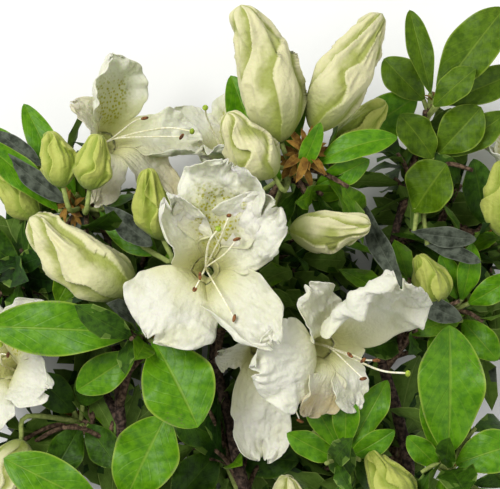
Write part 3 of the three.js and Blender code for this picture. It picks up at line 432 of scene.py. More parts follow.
def leaf_surface(leaf, u, v):
    """Across u from -1 to 1 and along v from 0 to 1: the blade opens by its outline, folds up from its
    midrib, arches along its length, swells between its side veins, and its margin waves."""
    half = leaf["width"] / 2 * leaf_outline(v)
    side = np.sqrt(u * u + 0.01) - 0.1
    rise = leaf["length"] * leaf["sag"] * (2 * v * (1 - v) - v * v / 2) + side * half * leaf["fold"]
    out = np.abs(u)
    wave = leaf.get("wave", 0.0) * half * out ** 2 * np.sin(leaf.get("phase",
                                                                     0.0) + 13 * v + 2.2 * np.sign(u))
    swell = np.sin(math.pi * out) * np.abs(np.sin(math.pi * (7 * v - 2 * out)))
    quilt = leaf.get("quilt", 0.0) * half * swell
    bend = leaf.get("bend", 0.0) * leaf["length"] * v * v
    return pressed(leaf["root"] + leaf["along"] * (leaf["length"] * v)[..., None]
                   + leaf["across"] * (half * u + bend)[..., None] + leaf["up"] * (rise + wave + quilt)[...,
                                                                                                        None])


def leaf_shell(leaf, thickness, rows, columns):
    """The leaf as a closed shell: across its upper side and back across its under side, apart by the
    thickness times the half circle over its width, so the two meet at the margin. Gives the grid with its u
    and v."""
    run = np.linspace(0, 4, 2 * columns + 1)
    u, v = np.meshgrid(np.where(run <= 2, run - 1, 3 - run), np.linspace(0, 1, rows + 1))
    face = np.where(run <= 2, 0.5, -0.5)[None, :] * np.sqrt(np.clip(1 - u * u, 0, 1))
    grid = leaf_surface(leaf, u, v) + leaf["up"] * (thickness * face * np.sin(math.pi * v ** 0.6))[..., None]
    grid[..., 2] = np.maximum(grid[..., 2], FLOOR_GAP - SHIFT[2])
    return grid, 0.5 + u / 2, v


def leaf_samples(leaf):
    """Points that stand for the leaf when room is looked for."""
    u = np.array([0, 0, -0.6, 0.6, 0, 0])
    v = np.array([0.3, 0.5, 0.6, 0.6, 0.75, 1.0])
    return leaf_surface({**leaf, "wave": 0.0, "bend": 0.0, "quilt": 0.0}, u, v)


def bloom_frame(bloom):
    """A bloom's axis, the direction of its blotched petal, its throat and its foot."""
    axis = unit(bloom["axis"])
    top = unit(np.array([0.0, 1.0, 0.0]) - axis * axis[1])
    top = turned(top, axis, -math.radians(bloom["roll"]))
    throat = sighted(bloom["throat"])
    return {"axis": axis, "top": top, "throat": throat, "foot": throat - axis * TUBE_LENGTH}


def petal_half_width(length, share, v):
    """From the claw the petal broadens as a sine to its widest place and rounds off as an ellipse."""
    widest = 0.62
    broad = length * share
    rising = 4.2 + (broad - 4.2) * np.sin(math.pi / 2 * np.clip(v / widest, 0, 1))
    q = np.clip((v - widest) / (1 - widest), 0, 1)
    return np.where(v < widest, rising, broad * np.sqrt(np.maximum(0.03, 1 - q * q)))


def petal_middle(bloom, index, v):
    """How far the petal's middle line is out from the axis and ahead along it, and its angle from the axis at
    v."""
    shape = bloom["petals"][index]
    length = bloom["lobe"] * shape["size"] + 5
    fine = np.linspace(0, 1, 97)
    middle = (fine[1:] + fine[:-1]) / 2
    bend = np.clip(middle / 0.42, 0, 1)
    angle = (math.radians(14) + math.radians(shape["open"] - 14) * bend * bend * (3 - 2 * bend)
             + math.radians(shape["curl"]) * middle ** 2)
    step = length / len(middle)
    out = TUBE_MOUTH - 1.6 + np.concatenate([[0], np.cumsum(np.sin(angle) * step)])
    ahead = -4 + np.concatenate([[0], np.cumsum(np.cos(angle) * step)])
    return np.interp(v, fine, out), np.interp(v, fine, ahead), np.interp(v, middle, angle)


def noise(x, y, seed, around=0):
    """Smooth random heights from -1 to 1: random values on a unit lattice, blended by the smooth step between
    the four nearest. With around, x repeats after that many units."""
    table = np.random.default_rng(seed).uniform(-1, 1, (64, 64))
    left, low = np.floor(x).astype(int), np.floor(y).astype(int)
    across, along = x - left, y - low
    across, along = across * across * (3 - 2 * across), along * along * (3 - 2 * along)
    wrap = around or 64

    def value(i, j):
        return table[(left + i) % wrap, (low + j) % 64]

    return ((value(0, 0) * (1 - across) + value(1, 0) * across) * (1 - along)
            + (value(0, 1) * (1 - across) + value(1, 1) * across) * along)


def section(angle, step):
    """The cross-section whose direction is angle at each column: sums of its cosine and sine from the middle
    out."""
    middle = angle.shape[1] // 2
    between = (angle[:, 1:] + angle[:, :-1]) / 2
    zero = np.zeros((len(angle), 1))
    over = np.concatenate([zero, np.cumsum(np.cos(between) * step, axis=1)], axis=1)
    rise = np.concatenate([zero, np.cumsum(np.sin(between) * step, axis=1)], axis=1)
    return over - over[:, middle:middle + 1], rise - rise[:, middle:middle + 1]


def petal_surface(bloom, place, index, u, v, seed):
    """Across u and along v: the middle line leaves the mouth and bends out to the petal's opening. The
    cross-section turns by the slope of a parabola and turns over at a lapped margin. Broad waves, crumples
    and fine creases along the veins are noise that grows from the claw, and a frill of three sines runs round
    the margin."""
    shape = bloom["petals"][index]
    azimuth = 2 * math.pi * index / PETAL_COUNT + math.radians(shape["swing"])
    outward = turned(place["top"], place["axis"], azimuth)
    out, ahead, angle = petal_middle(bloom, index, v)
    across = np.cross(place["axis"], outward)
    inner = -outward * np.cos(angle)[..., None] + place["axis"] * np.sin(angle)[..., None]
    length = bloom["lobe"] * shape["size"]
    scale = length / 31
    half = petal_half_width(length, shape["broad"], v)
    random = numbers(seed * 31 + index)
    phases = [2 * math.pi * random() for _ in range(6)]
    spot = seed * 7 + index
    round_rim = np.arctan2(u, (v - 0.55) * 2.2)
    edge = np.maximum(np.abs(u), smooth(0.5, 1.0, v)) ** 3
    outline = (0.05 * np.sin(4 * round_rim + phases[0]) + 0.035 * np.sin(9 * round_rim + phases[1])
               + 0.05 * noise(round_rim * 5, round_rim * 0, spot + 11))
    half = half * (1 + outline * smooth(0.3, 0.7, v))
    laps = smooth(0.4, 1.0, np.abs(u)) * smooth(0.2, 0.6, v)
    slope = (np.arctan(2 * shape["fold"] * u)
             + laps * np.where(u > 0, math.radians(shape["laps"][1]), -math.radians(shape["laps"][0])))
    over, rise = section(slope, 2 / (u.shape[1] - 1))
    grow = smooth(0.1, 0.7, v)
    x, y = u * half / 6, v * length / 6
    crumple = (1.7 * noise(x * 0.7 + 9, y * 0.7, spot) + 0.9 * noise(x * 1.7, y * 1.5 + 5, spot + 1)
               + 0.9 * (np.abs(noise(x * 3.2, y * 1.9, spot + 2)) - 0.35)
               + 0.3 * noise(x * 7, y * 3, spot + 3) + 0.1 * noise(x * 15, y * 8, spot + 4))
    frill = (1.5 * np.sin(5 * round_rim + phases[2]) + 1.1 * np.sin(9 * round_rim + phases[3])
             + 0.7 * np.sin(17 * round_rim + phases[4]))
    lift = half * rise - half * shape["fold"] * 0.35 * v + (grow * crumple + edge * grow * frill) * scale
    notch = (-0.05 * length * np.exp(-(u / 0.3) ** 2) + 0.03 * length * np.sin(7 * u + phases[5])
             + 0.025 * length * noise(u * 6, u * 0, spot + 12)) * smooth(0.8, 1, v)
    return (place["throat"] + outward * (out + notch * np.sin(angle))[..., None]
            + place["axis"] * (ahead + notch * np.cos(angle))[..., None]
            + across * (half * over)[..., None] + inner * lift[..., None])


def corolla_surfaces(bloom, place, seed, u, v):
    """The five petals, their neighbouring rims drawn together below the clefts, and the tube under them."""
    petals = [petal_surface(bloom, place, index, u, v, seed) for index in range(PETAL_COUNT)]
    joined = [petal_points.copy() for petal_points in petals]
    hold = (1 - smooth(CLEFT, CLEFT + 0.16, v[:, 0]))[:, None]
    for index in range(PETAL_COUNT):
        following = (index + 1) % PETAL_COUNT
        seam = (petals[index][:, -1] + petals[following][:, 0]) / 2
        pull_right = (seam - petals[index][:, -1]) * hold
        pull_left = (seam - petals[following][:, 0]) * hold
        joined[index] += pull_right[:, None] * (np.clip(u, 0, 1) ** 1.5)[..., None]
        joined[following] += pull_left[:, None] * (np.clip(-u, 0, 1) ** 1.5)[..., None]
    ring = np.concatenate([points[0, :-1] for points in joined] + [joined[0][:1, 0]])
    count = len(ring) - 1
    angle = 2 * math.pi * (np.arange(count + 1) / count - 0.5 / PETAL_COUNT)
    side = np.cross(place["axis"], place["top"])
    round_foot = np.cos(angle)[:, None] * place["top"] + np.sin(angle)[:, None] * side
    down = np.linspace(0, 1, 9)[:, None, None]
    foot = place["foot"] + place["axis"] * 0.3
    tube = ring * (1 - down) + (foot + TUBE_FOOT * round_foot) * down
    tube = tube - round_foot * 0.7 * np.sin(math.pi * down)
    return joined, tube


def bud_surface(bud, t, angle, seed):
    """Round angle and along t from foot to point: a spindle of rolled petals. Five overlaps run up it in a
    slow spiral, each a ramp that ends in a step. Noise stretched along it gives folds, the fold of a noise's
    absolute value gives sharp creases, and the point is drawn in late and crumpled."""
    foot, point, width = sighted(bud[0]), sighted(bud[1]), bud[2]
    axis = point - foot
    length = float(np.linalg.norm(axis))
    along = axis / length
    side, up = crossways(along)
    random = numbers(seed * 17 + 5)
    phases = [2 * math.pi * random() for _ in range(6)]
    profile = 0.06 + 0.94 * np.sin(math.pi * np.clip(t ** 0.72, 0, 1)).clip(0) ** 0.85
    profile = profile + 0.16 * smooth(0.7, 0.95, t) * (1 - smooth(0.96, 1.0, t))
    around = angle / (2 * math.pi)
    wander = 0.7 * noise(around * 4, t * 4, seed, 4) * smooth(0.1, 0.5, t)
    spiral = (angle + 1.3 * t + wander + phases[0]) / (2 * math.pi) * 5
    ramp = spiral - np.floor(spiral)
    overlap = (ramp ** 1.5 - 0.4) * 0.24 * smooth(0.02, 0.3, t)
    turn = around + 0.12 * t
    crumpled = 0.6 + 0.8 * smooth(0.35, 0.95, t)
    creases = (0.13 * noise(turn * 6, t * length / 16, seed + 40, 6)
               - 0.30 * (np.abs(noise(turn * 9, t * length / 17 + 3, seed + 41, 9)) - 0.35)
               - 0.16 * (np.abs(noise(turn * 19, t * length / 11 + 7, seed + 42, 19)) - 0.4)
               + 0.035 * noise(turn * 40, t * length / 4, seed + 43, 40)) * smooth(0.0, 0.35, t) * crumpled
    radius = width / 2 * profile * np.clip(1 + overlap + creases, 0.3, 1.35)
    bow = 0.05 * length * np.sin(math.pi * t)
    center = foot + axis * t[..., None] + (side * math.cos(phases[4]) + up * math.sin(phases[4])) * bow[...,
                                                                                                        None]
    # Deep creases and the tucks under each overlap go towards 0 in the tint, which the bud material turns
    # lime: partly the bud's own green, partly painted shade.
    shaded_hollow = np.clip(-creases * 2.4, 0, 1)
    return (center + radius[..., None] * (side * np.cos(angle)[..., None] + up * np.sin(angle)[..., None]),
            ramp * (1 - shaded_hollow))


# Meshes

class Sheets:
    """Grids of points gathered into one mesh, each with its own materials."""

    def __init__(self):
        self.points, self.faces, self.uvs, self.tints, self.materials = [], [], [], [], []
        self.count = 0

    def add(self, grid, u, v, material=0, tint=0.0, flip=False, closed=False):
        """One grid of rows and columns. u and v become its UV map and tint a number on each of its points. A
        closed grid has its last column joined to its first, and its first and last rows drawn to a point
        each."""
        rows, columns = grid.shape[:2]
        spots = np.arange(rows * columns).reshape(rows, columns)
        index = spots.copy()
        if closed:
            index[:, -1] = index[:, 0]
            index[0], index[-1] = index[0, 0], index[-1, 0]
        quads, corners = (np.stack([one[:-1, :-1], one[:-1, 1:], one[1:, 1:], one[1:, :-1]],
                                   axis=-1).reshape(-1, 4)
                          for one in (index, spots))
        if flip:
            quads, corners = quads[:, ::-1], corners[:, ::-1]
        uv = np.stack([np.broadcast_to(u, (rows, columns)), np.broadcast_to(v, (rows, columns))], axis=-1)
        self.points.append(grid.reshape(-1, 3))
        self.faces.append(quads + self.count)
        self.uvs.append(uv.reshape(-1, 2)[corners])
        self.tints.append(np.broadcast_to(tint, (rows, columns)).reshape(-1))
        self.materials.append(np.broadcast_to(material, (rows - 1, columns - 1)).reshape(-1))
        self.count += rows * columns

    def add_tube(self, curve, radii, sides, steps, material=0, relief=None):
        """A closed tube round a curve, with u round it and v along it."""
        grid = tube_surface(curve, radii, sides, steps, relief)
        rows, columns = grid.shape[:2]
        self.add(grid, np.linspace(0, 1, columns)[None, :], np.linspace(0, 1, rows)[:, None], material,
                 flip=True, closed=True)

    def build(self, name, materials, sharp=180.0):
        """The mesh object, in metres in the row frame. A quad with two corners in one point becomes a
        triangle, and edges that bend by more than sharp degrees are shaded sharp."""
        faces = np.concatenate(self.faces)
        kept = faces != np.roll(faces, 1, axis=1)
        totals = kept.sum(axis=1)
        used, corners = np.unique(faces[kept], return_inverse=True)
        points = (np.concatenate(self.points)[used] + SHIFT) * METRE
        mesh = bpy.data.meshes.new(name)
        mesh.vertices.add(len(points))
        mesh.vertices.foreach_set("co", points.astype(np.float32).ravel())
        mesh.loops.add(len(corners))
        mesh.loops.foreach_set("vertex_index", corners.astype(np.int32))
        mesh.polygons.add(len(faces))
        mesh.polygons.foreach_set("loop_start", (np.cumsum(totals) - totals).astype(np.int32))
        mesh.polygons.foreach_set("material_index", np.concatenate(self.materials).astype(np.int32))
        mesh.polygons.foreach_set("use_smooth", np.ones(len(faces), dtype=bool))
        layer = mesh.uv_layers.new(name="UVMap")
        layer.data.foreach_set("uv", np.concatenate(self.uvs)[kept].astype(np.float32).ravel())
        tint = mesh.attributes.new("tint", "FLOAT", "POINT")
        tint.data.foreach_set("value", np.concatenate(self.tints)[used].astype(np.float32))
        mesh.update(calc_edges=True)
        mesh.validate()
        if sharp < 180:
            mesh.set_sharp_from_angle(angle=math.radians(sharp))
        for material in materials:
            mesh.materials.append(material)
        piece = bpy.data.objects.new(name, mesh)
        bpy.context.scene.collection.objects.link(piece)
        return piece


def thicken(piece, thickness):
    """Gives a sheet its thickness in millimetres."""
    modifier = piece.modifiers.new("Thickness", "SOLIDIFY")
    modifier.thickness = thickness * METRE
    modifier.offset = 0
    return piece


def weld(piece):
    """Joins points that fall together, within 0.02 mm."""
    modifier = piece.modifiers.new("Weld", "WELD")
    modifier.merge_threshold = 0.02 * METRE
    return piece


def declare(piece, nodes):
    """The piece rides with the branch and stands for its CAD nodes."""
    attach(piece, "root")
    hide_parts(*nodes)


# Growth, the same rule as the part's

def limb_curves():
    """The curve and radii of each limb. A limb starts at its place on its parent."""
    curves = {}
    for name, (parent, at, path, radii) in LIMBS.items():
        points = list(path)
        if parent:
            points.insert(0, curves[parent][0].place(at))
        curves[name] = (Curve(points), radii)
    return curves


CURVES = limb_curves()


def frame_shift():
    """The step from the layout to the row frame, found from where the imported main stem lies."""
    curve, radii = CURVES["main_stem"]
    rings = tube_surface(curve, radii, 6, 6)
    low, high = (np.array(corner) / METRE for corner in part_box("main_stem"))
    return (low + high) / 2 - (rings.min(axis=(0, 1)) + rings.max(axis=(0, 1))) / 2


SHIFT = frame_shift()


class View:
    """What the leaves of the rule must leave in sight, as points with a radius."""

    def __init__(self):
        self.points = []
        self.radii = []

    def keep(self, points, radius):
        for point in np.atleast_2d(points):
            self.points.append(point)
            self.radii.append(radius)

    def hidden_by(self, samples):
        points = np.array(self.points)
        share = (EYE_HEIGHT - samples[:, None, 2]) / (EYE_HEIGHT - points[None, :, 2])
        gap = np.hypot(samples[:, None, 0] - points[None, :, 0] * share,
                       samples[:, None, 1] - points[None, :, 1] * share)
        above = samples[:, None, 2] >= points[None, :, 2] - 2
        return bool(np.any(above & (gap < np.array(self.radii)[None, :])))


class Room:
    """Sample points of all leaves so far."""

    def __init__(self):
        self.points = np.empty((0, 3))

    def has(self, samples, distance):
        if not len(self.points):
            return True
        gaps = np.linalg.norm(self.points[None] - samples[:, None], axis=-1)
        return bool(gaps.min() > distance)

    def take(self, samples):
        self.points = np.vstack([self.points, samples])


def whorl_leaves(tip, axis, count, length, random):
    """A shoot's whorl: leaves stand round its tip by the golden angle, tilted out from its axis."""
    leaves = []
    side, up = crossways(axis)
    phase = 2 * math.pi * random()
    for index in range(count):
        angle = phase + GOLDEN_ANGLE * index
        tilt = math.radians(38 + 44 * random())
        radial = side * math.cos(angle) + up * math.sin(angle)
        direction = unit(axis * math.cos(tilt) + radial * math.sin(tilt))
        root = tip - axis * LEAF_STEP * (count - index)
        reach = length * (0.62 + 0.5 * random())
        leaf = leaf_frame(root, root + direction * reach, axis, math.radians(30 * (random() - 0.5)))
        leaf["width"] = reach * (0.36 + 0.1 * random())
        leaf["sag"] = 0.05 + 0.2 * random()
        leaf["fold"] = 0.25
        leaves.append(leaf)
    return leaves


def flower_seat(name):
    """Where the stalk of a bloom or bud ends, and the direction it ends in."""
    if name in BLOOMS:
        place = bloom_frame(BLOOMS[name])
        return place["foot"], place["axis"]
    foot, point = sighted(BUDS[name][0]), sighted(BUDS[name][1])
    return foot, unit(point - foot)


def side_twig(stem, t, index, turn, spread, random):
    """One side twig of a spray's stem, as a curve."""
    axis = stem.direction(t)
    side, up = crossways(axis)
    angle = GOLDEN_ANGLE * index + turn
    direction = unit(axis * 0.75 + side * math.cos(angle) + up * math.sin(angle))
    root = stem.place(t)
    end = pressed(root + direction * spread * (0.6 + 0.4 * random()))
    bend = pressed((root + end) / 2 + np.array([0, 2, 1]))
    return Curve([root, bend, end])


def flowers_in_view():
    """The view with what no grown leaf may hide: blooms, buds, two boughs and the rosette of scales."""
    view = View()
    for bloom in BLOOMS.values():
        place = bloom_frame(bloom)
        view.keep(place["throat"] + place["axis"] * 5, bloom["lobe"] * 0.95)
    for foot, point, width in BUDS.values():
        for t in (0.25, 0.5, 0.75):
            view.keep(sighted(foot) * (1 - t) + sighted(point) * t, width * 0.5)
    for name in ("bough_center", "bough_right"):
        view.keep(CURVES[name][0].at([0.3, 0.5, 0.7, 0.9]), 5)
    view.keep(sighted(ROSETTE), 8)
    return view


def grow_sprays():
    """Twigs and leaves of every spray: stems, flower stalks, side twigs, listed blades and whorls by the
    rule, then finer twigs with smaller whorls where there is still room."""
    view, room = flowers_in_view(), Room()
    sprays = {}
    for order, (name, spec) in enumerate(SPRAYS.items()):
        bough, at, tip, twigs, spread, whorl, leaf, flowers, blades = spec
        limb = CURVES[bough][0]
        start, end = limb.place(at), sighted(tip)
        stem = Curve([start, (start + end) / 2 + limb.direction(at) * 4, end])
        axis = stem.direction(1)
        random = numbers(order + 1)
        stalks = []
        for place, flower in enumerate(flowers):
            seat, toward = flower_seat(flower)
            near = seat - toward * min(9, np.linalg.norm(end - seat) * 0.35)
            stalks.append(Curve([end - axis * (1 + ROOT_STEP * place), near, seat]))
        whorls = [(end, axis, whorl, leaf, numbers(100 * (order + 1)))]
        side_twigs = []
        for index in range(twigs):
            curve = side_twig(stem, 0.35 + 0.5 * index / twigs, index, 2 * math.pi * random(), spread, random)
            side_twigs.append(curve)
            whorls.append((curve.place(1), curve.direction(1), whorl, leaf,
                           numbers(100 * (order + 1) + index + 1)))
        hand = []
        finer = FINER_BLADES.get(name, [])
        kinds = [("grey" if (name, place) == GREY_BLADE else "olive" if name in OLIVE_SPRAYS else "front")
                 for place in range(len(blades))] + [kind for _, kind in finer]
        for place, item in enumerate(blades + [item for item, _ in finer]):
            made = leaf_frame(sighted(item["root"]), sighted(item["point"]), np.array([0.0, 0.0, 1.0]),
                              math.radians(item["roll"]))
            made.update(width=item["width"], sag=item["sag"], fold=0.22, kind=kinds[place])
            samples = leaf_samples(made)
            room.take(samples)
            view.keep(samples[1:], item["width"] * 0.45)
            hand.append(made)
            stalks.append(Curve([end - axis * (0.6 + ROOT_STEP * place), made["root"] + made["along"] * 1.5]))
        sprays[name] = {"stem": stem, "stalks": stalks, "twigs": side_twigs, "whorls": whorls, "hand": hand,
                        "leaves": [], "spec": spec}
    for name, spray in sprays.items():
        for tip, axis, count, length, random in spray["whorls"]:
            for leaf in whorl_leaves(tip, axis, count, length, random):
                samples = leaf_samples(leaf)
                if samples[:, 1].max() > CROWN_TOP or view.hidden_by(samples) or not room.has(samples, ROOM):
                    continue
                room.take(samples)
                spray["leaves"].append(leaf)
    for order, (name, spray) in enumerate(sprays.items()):
        grow_finer(name, spray, numbers(500 + order), view, room)
        spray["scales"] = bud_scales(spray, *SCALES.get(name, (4, 6, 1)), numbers(600 + order))
    return sprays


def grow_finer(name, spray, random, view, room):
    """More side twigs on the stem, each with a whorl of smaller leaves that keep a closer room."""
    spread, whorl, length = spray["spec"][4:7]
    count = 22 if name in SHADED_SPRAYS or name == "foliage_right_middle" else 10
    for index in range(count):
        t = 0.15 + 0.8 * index / count
        curve = side_twig(spray["stem"], t, index, 2 * math.pi * random(), spread * (0.6 + 0.5 * random()),
                          random)
        kept = []
        for leaf in whorl_leaves(curve.place(1), curve.direction(1), whorl + 3, length * 0.92, random):
            samples = leaf_samples(leaf)
            if samples[:, 1].max() > CROWN_TOP - 4 or view.hidden_by(samples) or not room.has(samples,
                                                                                              FINE_ROOM):
                continue
            room.take(samples)
            kept.append(leaf)
        if len(kept) > 1:
            spray["twigs"].append(curve)
            spray["leaves"].extend(kept)


def bud_scales(spray, count, length, rise, random):
    """Narrow scales in a close whorl round the tip of a spray's stem, raised by rise."""
    axis = spray["stem"].direction(1)
    tip = spray["stem"].place(1) + axis * rise
    scales = []
    for leaf in whorl_leaves(tip, axis, count, length, random):
        leaf["width"] = leaf["length"] * 0.26
        leaf["sag"] = 0.3
        leaf["root"] = tip + (leaf["root"] - tip) * min(0.5, (rise + 3) / (LEAF_STEP * count))
        scales.append(leaf)
    return scales


# Materials

def linear(color):
    """A hex sRGB colour as linear red, green, blue and alpha."""
    parts = [int(color.lstrip("#")[i:i + 2], 16) / 255 for i in (0, 2, 4)]
    return [part / 12.92 if part <= 0.04045 else ((part + 0.055) / 1.055) ** 2.4 for part in parts] + [1.0]


def node(tree, kind, inputs, output=0, **settings):
    """Adds a node of a kind with its settings, and gives one output. Inputs go by name or number: a socket is
    linked, a hex colour is turned linear, and any other value is set."""
    made = tree.nodes.new(kind)
    for key, value in settings.items():
        setattr(made, key, value)
    for key, value in inputs.items():
        if isinstance(value, bpy.types.NodeSocket):
            tree.links.new(value, made.inputs[key])
        else:
            made.inputs[key].default_value = linear(value) if isinstance(value, str) else value
    return made.outputs[output]


def new_material(name, color, **values):
    """A material whose Principled shader has the values, socket names with underlines. Gives it, its tree and
    the shader's inputs."""
    material = bpy.data.materials.new(name)
    material.use_nodes = True
    tree = material.node_tree
    sockets = tree.nodes["Principled BSDF"].inputs
    sockets["Base Color"].default_value = linear(color)
    sockets["Subsurface Radius"].default_value = (0.6, 0.8, 0.4)
    sockets["Subsurface Scale"].default_value = 0.0012
    for key, value in values.items():
        sockets[key.replace("_", " ")].default_value = value
    material.diffuse_color = linear(color)
    return material, tree, sockets


MATH, MIX, RANGE = "ShaderNodeMath", "ShaderNodeMix", "ShaderNodeMapRange"
NOISE, CELLS, BUMP = "ShaderNodeTexNoise", "ShaderNodeTexVoronoi", "ShaderNodeBump"


def leaf_material(name, deep, bright, vein, roughness, specular=0.16):
    """Azalea leaf: living tissue under a thin wax cuticle."""
    # The cuticle gives a soft sheen, not a gloss. The green clouds over some 3 mm, the midrib is a paler
    # groove 0.9 mm wide, and seven pairs of side veins slant from it. The rim is pale with hairs, and the
    # hairs of the blade show as a 1 mm grain.
    material, tree, shader = new_material(name, deep, Roughness=roughness, Specular_IOR_Level=specular,
                                          Subsurface_Weight=0.03)
    uv = node(tree, "ShaderNodeUVMap", {}, uv_map="UVMap")
    across = node(tree, "ShaderNodeSeparateXYZ", {0: uv}, "X")
    along = node(tree, "ShaderNodeSeparateXYZ", {0: uv}, "Y")
    middle = node(tree, MATH, {0: across, 1: 0.5}, operation="SUBTRACT")
    side = node(tree, MATH, {0: middle}, operation="ABSOLUTE")
    midrib = node(tree, RANGE, {0: side, 1: 0.035, 2: 0.006}, interpolation_type="SMOOTHSTEP")
    slant = node(tree, MATH, {0: side, 1: 5.0}, operation="MULTIPLY")
    run = node(tree, MATH, {0: along, 1: 7.0, 2: slant}, operation="MULTIPLY_ADD")
    ripple = node(tree, MATH, {0: run, 1: 0.5}, operation="PINGPONG")
    branch = node(tree, RANGE, {0: ripple, 1: 0.1, 2: 0.0, 4: 0.3}, interpolation_type="SMOOTHSTEP")
    veins = node(tree, MATH, {0: midrib, 1: branch}, operation="MAXIMUM")
    place = node(tree, "ShaderNodeTexCoord", {}, "Object")
    cloud = node(tree, NOISE, {"Vector": place, "Scale": 340.0, "Detail": 6.0, "Roughness": 0.6})
    share = node(tree, RANGE, {0: cloud, 1: 0.3, 2: 0.66}, interpolation_type="SMOOTHSTEP")
    blade_color = node(tree, MIX, {0: share, 6: deep, 7: bright}, 2, data_type="RGBA")
    vein_share = node(tree, MATH, {0: veins, 1: 0.3}, operation="MULTIPLY")
    veined = node(tree, MIX, {0: vein_share, 6: blade_color, 7: vein}, 2, data_type="RGBA")
    rim = node(tree, RANGE, {0: side, 1: 0.45, 2: 0.5, 4: 0.75}, interpolation_type="SMOOTHSTEP")
    color = node(tree, MIX, {0: rim, 6: veined, 7: vein}, 2, data_type="RGBA")
    tree.links.new(color, shader["Base Color"])
    grain = node(tree, NOISE, {"Vector": place, "Scale": 1000.0, "Detail": 2.0})
    height = node(tree, MATH, {0: grain, 1: 0.35}, operation="MULTIPLY")
    grooved = node(tree, MATH, {0: height, 1: veins}, operation="SUBTRACT")
    bump = node(tree, BUMP, {"Strength": 0.45, "Distance": 0.0005, "Height": grooved})
    tree.links.new(bump, shader["Normal"])
    return material


def petal_material(name, white, cream, throat, spots, aged):
    """Azalea petal: thin, translucent tissue full of air spaces."""
    # Light scatters inside it, so it is soft and matt, and greener at the throat. The honey guide is a
    # scatter of lime dots 1.3 mm apart on a lime flush, where tint is above 0. Where tint is below 0 the
    # petal is past its best and has turned ochre. Veins wander along it 2 to 3 mm apart.
    material, tree, shader = new_material(name, white, Roughness=0.6, Specular_IOR_Level=0.25,
                                          Subsurface_Weight=0.3, Sheen_Weight=0.1)
    uv = node(tree, "ShaderNodeUVMap", {}, uv_map="UVMap")
    across = node(tree, "ShaderNodeSeparateXYZ", {0: uv}, "X")
    along = node(tree, "ShaderNodeSeparateXYZ", {0: uv}, "Y")
    place = node(tree, "ShaderNodeTexCoord", {}, "Object")
    cloud = node(tree, NOISE, {"Vector": place, "Scale": 90.0, "Detail": 4.0})
    share = node(tree, RANGE, {0: cloud, 1: 0.45, 2: 0.75}, interpolation_type="SMOOTHSTEP")
    base = node(tree, MIX, {0: share, 6: white, 7: cream}, 2, data_type="RGBA")
    depth = node(tree, RANGE, {0: along, 1: 0.62, 2: 0.02, 4: 0.85}, interpolation_type="SMOOTHSTEP")
    base = node(tree, MIX, {0: depth, 6: base, 7: throat}, 2, data_type="RGBA")
    tint = node(tree, "ShaderNodeAttribute", {}, "Fac", attribute_name="tint")
    dots = node(tree, CELLS, {"Vector": place, "Scale": 750.0})
    dot = node(tree, RANGE, {0: dots, 1: 0.5, 2: 0.26, 3: 0.4, 4: 1.0}, interpolation_type="SMOOTHSTEP")
    guide = node(tree, MATH, {0: dot, 1: tint}, operation="MULTIPLY", use_clamp=True)
    base = node(tree, MIX, {0: guide, 6: base, 7: spots}, 2, data_type="RGBA")
    age = node(tree, MATH, {0: tint, 1: -1.0}, operation="MULTIPLY", use_clamp=True)
    worn = node(tree, MATH, {0: age, 1: cloud}, operation="MULTIPLY", use_clamp=True)
    color = node(tree, MIX, {0: worn, 6: base, 7: aged}, 2, data_type="RGBA")
    tree.links.new(color, shader["Base Color"])
    fan = node(tree, MATH, {0: cloud, 1: 24.0, 2: node(tree, MATH, {0: across, 1: 80.0},
                                                       operation="MULTIPLY")},
               operation="MULTIPLY_ADD")
    ribs = node(tree, MATH, {0: fan}, operation="SINE")
    grain = node(tree, NOISE, {"Vector": place, "Scale": 620.0, "Detail": 4.0})
    height = node(tree, MATH, {0: ribs, 1: 0.06, 2: grain}, operation="MULTIPLY_ADD")
    bump = node(tree, BUMP, {"Strength": 0.6, "Distance": 0.0009, "Height": height})
    tree.links.new(bump, shader["Normal"])
    return material


def bud_material(name, pale, green, foot_green):
    """Closed azalea bud: petals rolled and crumpled into one another."""
    # The outer folds have lost their green and are cream. The hollows between them and the tucks under each
    # overlap are lime, partly their own green and partly painted shade, and the foot is greenest. The
    # crumpled tissue is matt, with a grain of some 2 mm.
    material, tree, shader = new_material(name, pale, Roughness=0.58, Specular_IOR_Level=0.28,
                                          Subsurface_Weight=0.22, Sheen_Weight=0.08)
    uv = node(tree, "ShaderNodeUVMap", {}, uv_map="UVMap")
    along = node(tree, "ShaderNodeSeparateXYZ", {0: uv}, "Y")
    place = node(tree, "ShaderNodeTexCoord", {}, "Object")
    fold = node(tree, "ShaderNodeAttribute", {}, "Fac", attribute_name="tint")
    cloud = node(tree, NOISE, {"Vector": place, "Scale": 210.0, "Detail": 4.0})
    uneven = node(tree, MATH, {0: cloud, 1: 0.7, 2: fold}, operation="MULTIPLY_ADD")
    # Where the fold tint and the cloud are low the bud turns lime: partly its own green, partly painted shade
    # in its hollows.
    shaded_hollow = node(tree, RANGE, {0: uneven, 1: 1.0, 2: 0.4, 4: 0.85}, interpolation_type="SMOOTHSTEP")
    base = node(tree, MIX, {0: shaded_hollow, 6: pale, 7: green}, 2, data_type="RGBA")
    low = node(tree, RANGE, {0: along, 1: 0.45, 2: 0.02, 4: 0.85}, interpolation_type="SMOOTHSTEP")
    color = node(tree, MIX, {0: low, 6: base, 7: foot_green}, 2, data_type="RGBA")
    tree.links.new(color, shader["Base Color"])
    grain = node(tree, NOISE, {"Vector": place, "Scale": 560.0, "Detail": 5.0})
    bump = node(tree, BUMP, {"Strength": 0.7, "Distance": 0.0008, "Height": grain})
    tree.links.new(bump, shader["Normal"])
    return material


